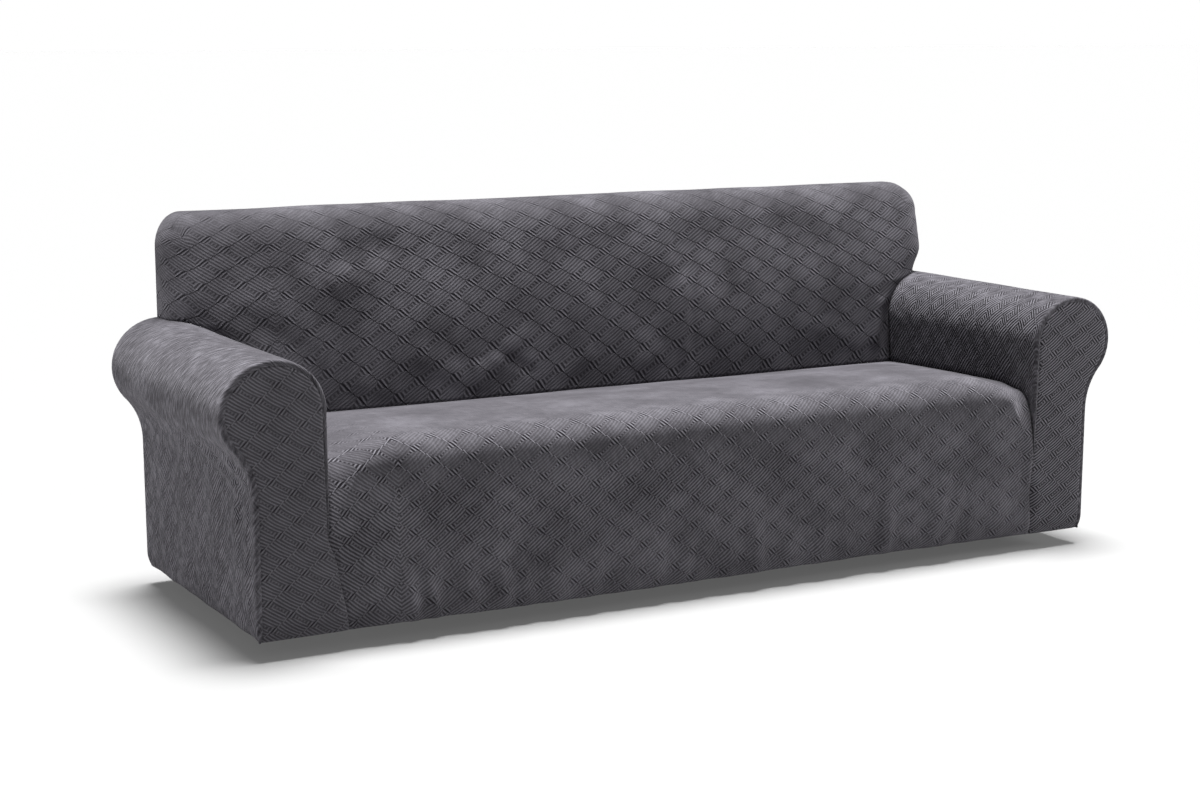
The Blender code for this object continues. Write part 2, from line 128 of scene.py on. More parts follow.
# the shape that the sofa gives the cover
body = {
    "halfDepth": 0.375,
    "hemCurl": 0.009,      # elastic draws the hem under
    "hemCurlHigh": 0.035,
    "hemLift": 0.003,      # the hem rides up here and there
    "hemWave": (5.1, 3.0, 0.6),  # radians in a metre along X and along Y, and its start
    "hemSlack": 0.25,      # height at which that has died away
    "seamFlat": 0.003,     # flat strip beside a seam
}
arm = {
    "out": 1.035, "up": 0.473, "halfWide": 0.115, "halfHigh": 0.11,
    "footAngle": -28.57,   # where the back's face meets the top of the roll
    "joinAngle": 2.5,      # where the sleeve runs on past the side of the back
    "joinBlend": 20.0,
    "lastAngle": 128.0,
    "wallTop": 0.30, "wallOutTop": 1.084, "wallOutHem": 1.083, "neckUp": 0.362,
    "edge": 0.010, "seamIn": 0.012, "seamInLow": 0.006, "shoulder": 45.0,
    "crisp": 0.45, "crispOver": 80.0,
}
seat = {
    "half": 0.92, "rear": 0.21, "creaseUp": 0.355, "crown": 0.042, "crownAt": -0.26,
    "sideStart": 0.76, "sideCrown": 0.26,      # the deck lies almost flat beside the arms
    "edgeReach": 0.060, "cornerDrop": 0.010, "cornerWide": 0.024, "cornerWideHem": 0.012,
    "dropFrom": -0.24, "dropOver": 0.07,
    "cornerUp": 0.20, "cornerReach": 0.042,    # the skirt's corners are drawn down beside the arms
    "skirtPlane": -0.370, "skirtTop": 0.342,
}
back = {
    "core": 0.98, "top": 0.742, "round": 0.08, "roundLeft": 0.060, "roundRight": 0.092,
    "roundDeep": 0.065, "roundOver": 0.07, "lean": 0.065, "crown": 0.010, "overStart": 0.38,
    "armTopWide": 1.04, "rearEdge": 0.014, "cornerBlend": 0.035,
    "rearTurns": (0.0, 0.25, 0.5, 0.75, 1.0, 2.0),
}
# cloth sinks where the back meets the arms and the seat, fully up to a height and not at all past it
backCrevices = {"sink": 0.008, "wide": 0.030, "from": 0.56, "over": 0.09}
# and where the skirt meets the front of each arm, least at the hem
skirtCrevices = {"deep": 0.009, "below": 0.03, "over": 0.10, "atHem": 0.2, "fullUp": 0.14}

# seam between skirt and arm front: height, distance out on the left, on the right
frontSeam = [
    (0.200, 0.9230, 0.9230),
    (0.150, 0.9060, 0.9180),
    (0.073, 0.8910, 0.9200),
    (0.000, 0.8780, 0.9200),
]


def deckHeight(x, y):
    reach = min(1.0, max(0.0, (y - seat["crownAt"]) / (seat["rear"] - seat["crownAt"])))
    beside = smooth((abs(x) - seat["sideStart"]) / (seat["half"] - seat["sideStart"]))
    crown = seat["crown"] * between(1.0, seat["sideCrown"], beside) * (1.0 - reach ** 2)
    drop = seat["cornerDrop"] * beside * smooth((seat["dropFrom"] - y) / seat["dropOver"])
    return seat["creaseUp"] + crown - drop


def skirtHeight(z, fromSeam):
    paintedShade = seat["cornerUp"] / seat["skirtTop"]
    return z * between(1.0, paintedShade, bump(fromSeam, seat["cornerReach"]))


def seatEdge(x, share):
    start = seat["skirtPlane"] + seat["edgeReach"]
    front = between(seat["skirtPlane"], -body["halfDepth"], bump(seat["half"] - abs(x), seat["cornerWide"]))
    low = skirtHeight(seat["skirtTop"], seat["half"] - min(seat["half"], abs(x)))
    angle = math.radians(90.0 * share)
    y = between(start, front, math.sin(angle))
    return y, between(low, deckHeight(x, start), math.cos(angle))


def seatEdgeLine(y):
    start = seat["skirtPlane"] + seat["edgeReach"]
    if y >= start:
        return deckHeight(seat["half"], y)
    share = math.asin(min(1.0, (start - y) / (start + body["halfDepth"]))) / math.radians(90.0)
    return seatEdge(seat["half"], share)[1]


def armFaceOut(y):
    sine = min(1.0, max(0.0, (-body["halfDepth"] + arm["edge"] - y) / arm["edge"]))
    return seat["half"] + (arm["seamInLow"] - body["seamFlat"]) * quarterTurn(sine)


def backFace(z):
    share = (z - seat["creaseUp"]) / (back["top"] - seat["creaseUp"])
    return seat["rear"] + back["lean"] * share - back["crown"] * math.sin(math.pi * share)


def backCrevice(z):
    return backCrevices["sink"] * (1.0 - smooth((z - backCrevices["from"]) / backCrevices["over"]))


def backRound(side):
    return back["roundLeft"] if side < 0 else back["roundRight"]


def backSideRound(side, z):
    spread = smooth((z - arm["up"] - arm["halfHigh"]) / back["roundOver"])
    return between(back["armTopWide"] - back["core"], backRound(side), spread)


def frontSeamOut(side, z):
    column = 1 if side < 0 else 2
    for upper, lower in zip(frontSeam, frontSeam[1:]):
        if z >= lower[0]:
            share = min(1.0, (z - lower[0]) / (upper[0] - lower[0]))
            return between(lower[column], upper[column], share)
    return frontSeam[-1][column]


def skirtCrevice(z):
    deep = smooth((seat["cornerUp"] - skirtCrevices["below"] - z) / skirtCrevices["over"])
    deep *= between(skirtCrevices["atHem"], 1.0, smooth(z / skirtCrevices["fullUp"]))
    return skirtCrevices["deep"] * deep


def hemCurl(z):
    return body["hemCurl"] * max(0.0, 1.0 - z / body["hemCurlHigh"]) ** 2


def lifted(x, y, z):
    alongX, alongY, shift = body["hemWave"]
    wave = 0.5 + 0.5 * math.sin(alongX * x + alongY * y + shift)
    return z + body["hemLift"] * wave * (1.0 - smooth(z / body["hemSlack"]))


def rollPoint(degrees):
    angle = math.radians(degrees)
    out = arm["out"] + arm["halfWide"] * math.sin(angle)
    up = arm["up"] + arm["halfHigh"] * math.cos(angle)
    inward = Vector((-math.sin(angle) / arm["halfWide"], -math.cos(angle) / arm["halfHigh"])).normalized()
    return out, up, inward


def underPoint(share):
    out, up, inward = rollPoint(arm["lastAngle"])
    start, bend = Vector((out, up)), Vector((arm["wallOutTop"], arm["neckUp"]))
    end = Vector((arm["wallOutTop"], arm["wallTop"]))
    point = start * (1 - share) ** 2 + bend * 2 * share * (1 - share) + end * share ** 2
    return point.x, point.y, inward.lerp(Vector((-1.0, 0.0)), share).normalized()


def wallPoint(height):
    out = between(arm["wallOutHem"], arm["wallOutTop"], height / arm["wallTop"])
    return out, height, Vector((-1.0, 0.0))


def outlinePoint(station, seatUp):
    kind, value = station
    if kind == "inner":
        return seat["half"], between(seatUp, arm["up"], value), Vector((1.0, 0.0))
    return {"roll": rollPoint, "under": underPoint, "wall": wallPoint}[kind](value)


def rises(station):
    return station[1] if station[0] == "inner" else 1.0


def turned(turn, reach, crisp=0.0):
    # round a right-angled edge for turn 0 to 1, then a flat strip up to 2; a crisp edge is squarer
    angle = math.radians(90.0 * min(1.0, turn))
    power = 1.0 - crisp
    back = max(0.0, math.cos(angle)) ** power if turn < 1.0 else 0.0
    across = (1.0 - back) * reach + body["seamFlat"] * max(0.0, turn - 1.0)
    return across, math.sin(angle) ** power, Vector((-math.cos(angle), math.sin(angle)))


def armCrispness(station):
    # the seat side of the arm is soft, and the outer side is crisp right down to the hem
    kind, value = station
    return arm["crisp"] * {"inner": 0.0, "roll": smooth((value + 90.0) / arm["crispOver"])}.get(kind, 1.0)


def armFrontEdge(station, turn):
    inset = between(arm["seamInLow"], arm["seamIn"], smooth(rises(station)))
    across, along, facing = turned(turn, inset - body["seamFlat"], armCrispness(station))
    y = -body["halfDepth"] + arm["edge"] * (1.0 - along)
    out, up, inward = outlinePoint(station, seatEdgeLine(y))
    curl = facing * hemCurl(up)
    up += 2.0 * body["seamFlat"] * max(0.0, turn - 1.0) * (1.0 - rises(station))
    return out + inward.x * across + curl.x, y + curl.y, up + inward.y * across


def rearInward(inward, degrees):
    return inward + Vector((inward.y, -inward.x)) * bump(degrees - arm["joinAngle"], arm["joinBlend"])


def rearEdge(station, turn):
    out, up, inward = outlinePoint(station, seat["creaseUp"])
    if station[0] == "roll":
        inward = rearInward(inward, station[1])
    across, along, facing = turned(turn, back["rearEdge"])
    curl = facing * hemCurl(up)
    y = body["halfDepth"] - back["rearEdge"] * (1.0 - along) - curl.y
    return out + inward.x * across + curl.x, y, up + inward.y * across


def backSideInward(z):
    corner = rearInward(rollPoint(arm["joinAngle"])[2], arm["joinAngle"])
    return Vector((-1.0, 0.0)).lerp(corner, bump(z - arm["up"] - arm["halfHigh"], back["cornerBlend"]))


def sideTurn(z, share, start=0.0):
    return backFace(z) + backCrevice(z) + back["roundDeep"] * quarterTurn(min(1.0, share), start)


def skirtEdge(side, z):
    y = -body["halfDepth"] + skirtCrevice(z) + hemCurl(z)
    return Vector((frontSeamOut(side, z), y, z))


# the rest works on whole panels: arrays of points, one row of them for each row of the grid
def fade(values, start, end):
    # 0 at the start and 1 at the end, with a soft run in and out
    t = np.clip((values - start) / (end - start), 0.0, 1.0)
    return t * t * (3.0 - 2.0 * t)


def ridge(away, width):
    return np.exp(-((away / width) ** 2))


def foldLines(a, b, rows):
    # soft ridges and troughs, pressed along the cloth's own normal
    # each row: from (a, b), to (a, b), half width, height; a trough has a height below 0
    relief = np.zeros_like(a)
    for fromA, fromB, toA, toB, wide, high in rows:
        runA, runB = toA - fromA, toB - fromB
        share = ((a - fromA) * runA + (b - fromB) * runB) / (runA ** 2 + runB ** 2)
        near = np.clip(share, 0.0, 1.0)
        away = np.hypot(a - fromA - near * runA, b - fromB - near * runB)
        relief += high * ridge(away, wide) * (1.0 - (2.0 * near - 1.0) ** 4)
    return relief


def slowWaves(a, b, shift):
    # wide unevenness: waves that together don't repeat within a panel
    waves = np.zeros_like(a)
    for strength, alongA, alongB, shifts in cloth["waves"]:
        waves += strength * np.sin(alongA * a + alongB * b + shifts * shift)
    return waves / sum(strength for strength, *_ in cloth["waves"])


def layPoints(columns, rows, place):
    grid = np.zeros((len(rows), len(columns), 3))
    for r, row in enumerate(rows):
        for c, column in enumerate(columns):
            grid[r, c] = place(column, row)
    return grid


def clothLengths(grid, middle):
    # cloth coordinates: lengths along the rows from the middle column, and up that column
    across = np.linalg.norm(np.diff(grid, axis=1), axis=2)
    across = np.concatenate([np.zeros((len(grid), 1)), np.cumsum(across, axis=1)], axis=1)
    across -= across[:, middle:middle + 1]
    up = np.linalg.norm(np.diff(grid[:, middle], axis=0), axis=1)
    up = np.concatenate([[0.0], np.cumsum(up)])
    return across, np.repeat(up[:, None], grid.shape[1], axis=1)


def gridNormals(grid, flip):
    alongRow = np.gradient(grid, axis=1)
    alongColumn = np.gradient(grid, axis=0)
    normals = np.cross(alongRow, alongColumn)
    size = np.linalg.norm(normals, axis=2, keepdims=True)
    normals = normals / np.maximum(size, 1e-12)
    return -normals if flip else normals


def seamDips(across, up, seams):
    # seams names the sides of the grid that are sewn
    lengths = {
        "left": across - across[:, :1],
        "right": across[:, -1:] - across,
        "start": up - up[:1],
        "end": up[-1:] - up,
    }
    wander, quickness = cloth["puckerWander"]
    dip = np.zeros_like(across)
    for side in seams:
        away = lengths[side]
        along = up if side in ("left", "right") else across
        dip -= cloth["seamDip"] * ridge(away, cloth["seamWidth"])
        turns = 2.0 * np.pi * along / cloth["puckerEvery"] + wander * np.sin(along * quickness)
        dip += cloth["pucker"] * np.sin(turns) * ridge(away, cloth["puckerWide"])
    return dip


def tuckEdges(grid, seams):
    edges = {
        "left": (grid[:, 0], grid[:, 1]),
        "right": (grid[:, -1], grid[:, -2]),
        "start": (grid[0], grid[1]),
        "end": (grid[-1], grid[-2]),
    }
    for side in seams:
        edge, beside = edges[side]
        outward = edge - beside
        length = np.maximum(np.linalg.norm(outward, axis=1, keepdims=True), 1e-9)
        edge += cloth["tuck"] * fade(edge[:, 2:], 0.0, cloth["tuckFull"]) * outward / length


def aboveHem(grid):
    # length up each column of the grid from the hem, which is its last row
    runs = np.linalg.norm(np.diff(grid, axis=0), axis=2)
    runs = np.concatenate([np.zeros((1, grid.shape[1])), np.cumsum(runs, axis=0)])
    return runs[-1:] - runs


def sewPanel(name, columns, rows, place, relief, weave, seams=(), keep=None, flip=False, middle=None,
             lay=None):
    middle = len(columns) // 2 if middle is None else middle
    grid = layPoints(columns, rows, place)
    across, up = clothLengths(grid, middle)
    clothU, clothV = lay(grid, across) if lay else (across, up)
    shape, patternStrength = relief(grid, across, up)
    shape = shape + seamDips(across, up, seams)
    grid = grid + gridNormals(grid, flip) * shape[..., None]
    tuckEdges(grid, seams)

    mesh = bpy.data.meshes.new(name)
    panel = bpy.data.objects.new(name, mesh)
    bpy.context.collection.objects.link(panel)
    bm = bmesh.new()
    wide, high = len(columns) - 1, len(rows) - 1
    lattice = bm.loops.layers.uv.new("cloth")
    strength = bm.verts.layers.float.new("relief")
    bmesh.ops.create_grid(bm, x_segments=wide, y_segments=high, size=0.5)
    spots = {v: (round((v.co.x + 0.5) * wide), round((v.co.y + 0.5) * high)) for v in bm.verts}
    if keep:
        lowest = {f: [min(spots[v][axis] for v in f.verts) for axis in (0, 1)] for f in bm.faces}
        notch = [f for f in bm.faces if not keep(*lowest[f])]
        bmesh.ops.delete(bm, geom=notch, context="FACES")
    for v in bm.verts:
        c, r = spots[v]
        v.co = grid[r, c]
        v[strength] = patternStrength[r, c]
    for face in bm.faces:
        for loop in face.loops:
            c, r = spots[loop.vert]
            loop[lattice].uv = (clothU[r, c], clothV[r, c])
    if flip:
        bmesh.ops.reverse_faces(bm, faces=bm.faces)
    area = sum(face.calc_area() for face in bm.faces)
    bm.to_mesh(mesh)
    bm.free()
    mesh.shade_smooth()
    thickness = panel.modifiers.new("cloth thickness", "SOLIDIFY")
    thickness.thickness = cloth["thick"]
    thickness.offset = -1.0
    mesh.materials.append(jacquardKnit(name, weave))
    print(name, "sewn,", round(area, 3), "m2,", len(columns), "by", len(rows))
    return panel, area


def declare(panel, node, flat, area):
    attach(panel, "root")
    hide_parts(node)


# stretch jacquard knit in polyester and elastane, brushed on its face:
# a brushed knit is dull, with a faint pale bloom where it is seen edge on
knit = {
    # ramp colours for grooves, ground and rib tops: the dark grooves are partly painted shade and the pale
    # rib tops partly painted highlight
    "groove": "#211f24",
    "ground": "#514f54",
    "ribTop": "#7d7b82",
    "bloom": "#d8d5dc",
    "bloomWeight": 0.14,
    "bloomRoughness": 0.5,
    "roughness": 0.9,
    "ior": 1.45,
    "shine": 0.2,
    "ribHigh": 0.0016,     # ribs take about 0.6 of this height, just under a millimetre
    "grainEvery": 0.0030,  # its loops are 0.7 mm apart, drawn about four times as coarse to show
    "cloudEvery": 0.16,    # patches where the pile was stroked another way
    "waverTurns": 11.0,    # in a metre: the lines of the lattice waver this often
    "streakLong": 0.030, "streakWide": 0.0055,
    "sideSoft": 0.07, "endSoft": 0.03,     # soft edges of a block, in shares of its cell
    "ribsFade": 0.06, "ribsLeft": 0.35,    # ribs die away to this share where the cloth is worn
    "lineFrom": 0.93, "lineFull": 0.98,
    "swell": 0.06,         # each cell swells a little in its middle
    "grainHigh": 0.35, "lineHigh": 0.25,
    # how much each one changes the tone; the third is painted shade where the relief strength passes 1
    "reliefTone": 1.1, "grainTone": 0.45, "paintedShadeTone": -0.22, "blockTone": 0.10,
}

# lattice of blocks as it lies on most panels: lengths in metres, rise and fall in degrees,
# ribs and rungs counted in a cell, streakTurn in radians and the rest in shares
lattice = {
    "rise": 34.0, "along": 0.054,          # one set of lines, and the spacing along it
    "fall": 36.0, "beside": 0.051,         # and the other
    "blockAt": (0.0, 0.03),                # where one block lies on the panel
    "turnAt": None, "mirrored": False,     # the pattern turns back on itself at a sewn join
    "crowd": 0.0, "crowdFrom": 0.0,        # rows close up where the cloth is stretched sideways
    "blockLong": 0.94, "blockWide": 0.94, "blockEnd": 0.46,
    "ribs": 7, "ribStrength": 0.6, "ribLean": 0.0, "bow": 0.02,
    "ribbedTo": 9.0,                       # length up the panel at which the ribs are worn
    "rungs": 7, "rungTilt": 1.4, "rungStrength": 1.3, "rungNeck": 0.4, "rungShade": 0.06,
    "rungsAbove": 1.0,                     # strength of the rungs past there
    "lineStrength": 0.35, "waver": 0.006, "clouding": 0.6, "streaks": 0.3, "streakTurn": 0.6,
}


def linear(hexColour):
    parts = [int(hexColour[i:i + 2], 16) / 255 for i in (1, 3, 5)]
    return [p / 12.92 if p <= 0.04045 else ((p + 0.055) / 1.055) ** 2.4 for p in parts] + [1.0]


def wire(tree, kind, inputs, out=0, **settings):
    # adds one node; each input, in order or by name, is another node's output or a plain value
    fresh = tree.nodes.new("ShaderNode" + kind)
    for name, value in settings.items():
        setattr(fresh, name, value)
    plugs = inputs.items() if isinstance(inputs, dict) else enumerate(inputs)
    for key, value in plugs:
        socket = fresh.inputs[key]
        if isinstance(value, bpy.types.NodeSocket):
            tree.links.new(value, socket)
        else:
            socket.default_value = value
    return fresh.outputs[out]


def latticeCells(tree, flat, weave):
    # cells counted up the rise and down the fall, whole numbers on a cell's sides
    waver = {"Vector": flat, "Scale": knit["waverTurns"], "Detail": 1.0}
    waver = wire(tree, "TexNoise", waver, out="Color")
    waver = wire(tree, "VectorMath", (waver, (0.5, 0.5, 0.5)), operation="SUBTRACT")
    waver = wire(tree, "VectorMath", {0: waver, "Scale": weave["waver"]}, operation="SCALE")
    moved = wire(tree, "VectorMath", (flat, waver), operation="ADD")
    u = wire(tree, "SeparateXYZ", (moved,), out="X")
    v = wire(tree, "SeparateXYZ", (moved,), out="Y")
    blockU, blockV = weave["blockAt"]
    if weave["turnAt"] is not None:
        u = wire(tree, "Math", (u, weave["turnAt"]), operation="SUBTRACT")
        u = wire(tree, "Math", (u,), operation="ABSOLUTE")
        blockU = abs(blockU - weave["turnAt"])
    if weave["mirrored"]:
        u = wire(tree, "Math", (u, -1.0), operation="MULTIPLY")

    rise, fall = math.radians(weave["rise"]), math.radians(weave["fall"])
    cross = math.sin(rise + fall)
    sPerU, sPerV = math.sin(fall) / (weave["along"] * cross), math.cos(fall) / (weave["along"] * cross)
    tPerU, tPerV = math.sin(rise) / (weave["beside"] * cross), -math.cos(rise) / (weave["beside"] * cross)
    crowd, crowdFrom = weave["crowd"], weave["crowdFrom"]
    sStart = 0.5 - sPerU * blockU - sPerV * blockV - crowd * (blockV - crowdFrom) ** 2
    tStart = 0.5 - tPerU * blockU - tPerV * blockV
    s = wire(tree, "Math", (v, sPerV, sStart), operation="MULTIPLY_ADD")
    s = wire(tree, "Math", (u, sPerU, s), operation="MULTIPLY_ADD")
    above = wire(tree, "Math", (v, crowdFrom), operation="SUBTRACT")
    above = wire(tree, "Math", (above, above), operation="MULTIPLY")
    s = wire(tree, "Math", (above, crowd, s), operation="MULTIPLY_ADD")
    t = wire(tree, "Math", (v, tPerV, tStart), operation="MULTIPLY_ADD")
    t = wire(tree, "Math", (u, tPerU, t), operation="MULTIPLY_ADD")
    return s, t, v


def latticeMotif(tree, s, t, v, weave):
    inS = wire(tree, "Math", (s,), operation="FRACT")
    inT = wire(tree, "Math", (t,), operation="FRACT")
    fromS = wire(tree, "Math", (inS, 2.0, -1.0), operation="MULTIPLY_ADD")
    fromS = wire(tree, "Math", (fromS,), operation="ABSOLUTE")
    fromT = wire(tree, "Math", (inT, 2.0, -1.0), operation="MULTIPLY_ADD")
    fromT = wire(tree, "Math", (fromT,), operation="ABSOLUTE")
    squaredS = wire(tree, "Math", (fromS, fromS), operation="MULTIPLY")
    squaredT = wire(tree, "Math", (fromT, fromT), operation="MULTIPLY")

    # a barrel in each cell, flat at its two ends and widest half way
    taper = weave["blockEnd"] - weave["blockWide"]
    halfWide = wire(tree, "Math", (squaredS, taper, weave["blockWide"]), operation="MULTIPLY_ADD")
    inside = wire(tree, "Math", (halfWide, fromT), operation="SUBTRACT")
    sides = {"Value": inside, "From Min": -knit["sideSoft"], "From Max": knit["sideSoft"]}
    sides = wire(tree, "MapRange", sides, interpolation_type="SMOOTHSTEP")
    ends = {"Value": fromS, "From Min": weave["blockLong"] + knit["endSoft"],
            "From Max": weave["blockLong"] - knit["endSoft"]}
    ends = wire(tree, "MapRange", ends, interpolation_type="SMOOTHSTEP")
    block = wire(tree, "Math", (sides, ends), operation="MULTIPLY")

    # ribs run up the barrel
    lean = wire(tree, "Math", (inS, weave["ribLean"], inT), operation="MULTIPLY_ADD")
    bow = wire(tree, "Math", (squaredS, weave["bow"], lean), operation="MULTIPLY_ADD")
    turns = wire(tree, "Math", (bow, 2.0 * math.pi * weave["ribs"]), operation="MULTIPLY")
    ribs = wire(tree, "Math", (turns,), operation="COSINE")
    ribs = wire(tree, "Math", (ribs, 0.5 * weave["ribStrength"]), operation="MULTIPLY")
    ribbed = {"Value": v, "From Min": weave["ribbedTo"] + knit["ribsFade"],
              "From Max": weave["ribbedTo"] - knit["ribsFade"]}
    ribbed = wire(tree, "MapRange", ribbed, interpolation_type="SMOOTHSTEP")
    kept = wire(tree, "Math", (ribbed, 1.0 - knit["ribsLeft"], knit["ribsLeft"]), operation="MULTIPLY_ADD")
    ribs = wire(tree, "Math", (ribs, kept), operation="MULTIPLY")

    # short rungs cross between two barrels, deepest beside the lines
    besideBlock = wire(tree, "Math", (t, 0.5), operation="ADD")
    besideBlock = wire(tree, "Math", (besideBlock,), operation="FRACT")
    besideBlock = wire(tree, "Math", (besideBlock, 0.5), operation="SUBTRACT")
    turns = wire(tree, "Math", (inS, weave["rungs"]), operation="MULTIPLY")
    turns = wire(tree, "Math", (besideBlock, weave["rungTilt"], turns), operation="MULTIPLY_ADD")
    turns = wire(tree, "Math", (turns, 2.0 * math.pi), operation="MULTIPLY")
    rungs = wire(tree, "Math", (turns,), operation="COSINE")
    neck = weave["rungNeck"]
    deep = wire(tree, "Math", (squaredS, 1.0 - neck, neck), operation="MULTIPLY_ADD")
    rungs = wire(tree, "Math", (rungs, deep), operation="MULTIPLY")
    strength, shade = -0.5 * weave["rungStrength"], -weave["rungShade"]
    rungs = wire(tree, "Math", (rungs, strength, shade), operation="MULTIPLY_ADD")
    above = weave["rungsAbove"]
    kept = wire(tree, "Math", (ribbed, 1.0 - above, above), operation="MULTIPLY_ADD")
    rungs = wire(tree, "Math", (rungs, kept), operation="MULTIPLY")
    motif = wire(tree, "Mix", {0: block, 2: rungs, 3: ribs}, data_type="FLOAT")

    hollow = wire(tree, "Math", (squaredS, squaredT), operation="ADD")
    swell = wire(tree, "Math", (hollow, -knit["swell"], knit["swell"]), operation="MULTIPLY_ADD")
    motif = wire(tree, "Math", (motif, swell), operation="ADD")
    # one narrow groove runs on down each line of the lattice; its darkness in the colour is painted shade
    line = {"Value": fromS, "From Min": knit["lineFrom"], "From Max": knit["lineFull"]}
    line = wire(tree, "MapRange", line, interpolation_type="SMOOTHSTEP")
    groove = wire(tree, "Math", (line, -weave["lineStrength"]), operation="MULTIPLY")
    return motif, groove, block


def jacquardKnit(name, weave):
    material = bpy.data.materials.new(name + " brushed stretch jacquard")
    material.use_nodes = True
    tree = material.node_tree
    shader = tree.nodes["Principled BSDF"]
    shader.inputs["Roughness"].default_value = knit["roughness"]
    shader.inputs["IOR"].default_value = knit["ior"]
    shader.inputs["Specular IOR Level"].default_value = knit["shine"]
    shader.inputs["Sheen Weight"].default_value = knit["bloomWeight"]
    shader.inputs["Sheen Roughness"].default_value = knit["bloomRoughness"]
    shader.inputs["Sheen Tint"].default_value = linear(knit["bloom"])

    flat = wire(tree, "UVMap", {}, uv_map="cloth")
    s, t, v = latticeCells(tree, flat, weave)
    motif, groove, block = latticeMotif(tree, s, t, v, weave)
    strength = wire(tree, "Attribute", {}, out="Fac", attribute_name="relief")
    raised = wire(tree, "Math", (motif, strength), operation="MULTIPLY")
    groove = wire(tree, "Math", (groove, strength), operation="MULTIPLY")
    grain = {"Vector": flat, "Scale": 1.0 / knit["grainEvery"], "Detail": 2.0, "Roughness": 0.6}
    grain = wire(tree, "TexNoise", grain)
    # where the knit is stretched, its loops draw out into fine slanting streaks
    slant = {"Vector": flat, "Rotation": (0.0, 0.0, weave["streakTurn"]),
             "Scale": (knit["streakLong"], knit["streakWide"], 1.0)}
    slant = wire(tree, "Mapping", slant, vector_type="TEXTURE")
    streak = wire(tree, "TexNoise", {"Vector": slant, "Scale": 1.0, "Detail": 2.0})
    streak = wire(tree, "Math", (streak, 0.5), operation="SUBTRACT")
    streak = wire(tree, "Math", (streak, weave["streaks"]), operation="MULTIPLY")
    height = wire(tree, "Math", (grain, knit["grainHigh"], raised), operation="MULTIPLY_ADD")
    height = wire(tree, "Math", (height, streak), operation="ADD")
    height = wire(tree, "Math", (groove, knit["lineHigh"], height), operation="MULTIPLY_ADD")
    relief = wire(tree, "Bump", {"Height": height, "Distance": knit["ribHigh"], "Strength": 1.0})
    tree.links.new(relief, shader.inputs["Normal"])

    # colour: paler on the ribs and darker between them, which draws the knit's pattern and also paints the
    # relief's own shade into the grooves and its highlight onto the rib tops
    tone = wire(tree, "Math", (raised, groove), operation="ADD")
    tone = wire(tree, "Math", (tone, knit["reliefTone"], 0.5), operation="MULTIPLY_ADD")
    tone = wire(tree, "Math", (tone, streak), operation="ADD")
    # clouded by the pile
    cloud = {"Vector": flat, "Scale": 1.0 / knit["cloudEvery"], "Detail": 3.0, "Roughness": 0.55}
    cloud = wire(tree, "TexNoise", cloud)
    cloud = wire(tree, "Math", (cloud, 0.5), operation="SUBTRACT")
    tone = wire(tree, "Math", (cloud, weave["clouding"], tone), operation="MULTIPLY_ADD")
    loops = wire(tree, "Math", (grain, 0.5), operation="SUBTRACT")
    tone = wire(tree, "Math", (loops, knit["grainTone"], tone), operation="MULTIPLY_ADD")
    # painted shade: darker where the relief strength passes 1, which is mostly on the arms' inner faces
    # between the seat and the back, where shade falls
    paintedShade = wire(tree, "Math", (strength, 1.0), operation="SUBTRACT")
    paintedShade = wire(tree, "Math", (paintedShade, 0.0), operation="MAXIMUM")
    tone = wire(tree, "Math", (paintedShade, knit["paintedShadeTone"], tone), operation="MULTIPLY_ADD")
    # and each block a little its own
    column = wire(tree, "Math", (s,), operation="FLOOR")
    row = wire(tree, "Math", (t,), operation="FLOOR")
    cell = wire(tree, "CombineXYZ", (column, row))
    own = wire(tree, "TexWhiteNoise", {"Vector": cell}, noise_dimensions="3D")
    own = wire(tree, "Math", (own, 0.5), operation="SUBTRACT")
    own = wire(tree, "Math", (own, block), operation="MULTIPLY")
    own = wire(tree, "Math", (own, strength), operation="MULTIPLY")
    tone = wire(tree, "Math", (own, knit["blockTone"], tone), operation="MULTIPLY_ADD")
    colour = wire(tree, "ValToRGB", {"Fac": tone})
    ramp = colour.node.color_ramp
    ramp.elements[0].color = linear(knit["groove"])
    ramp.elements[1].color = linear(knit["ribTop"])
    ramp.elements.new(0.5).color = linear(knit["ground"])
    tree.links.new(colour, shader.inputs["Base Color"])
    return material


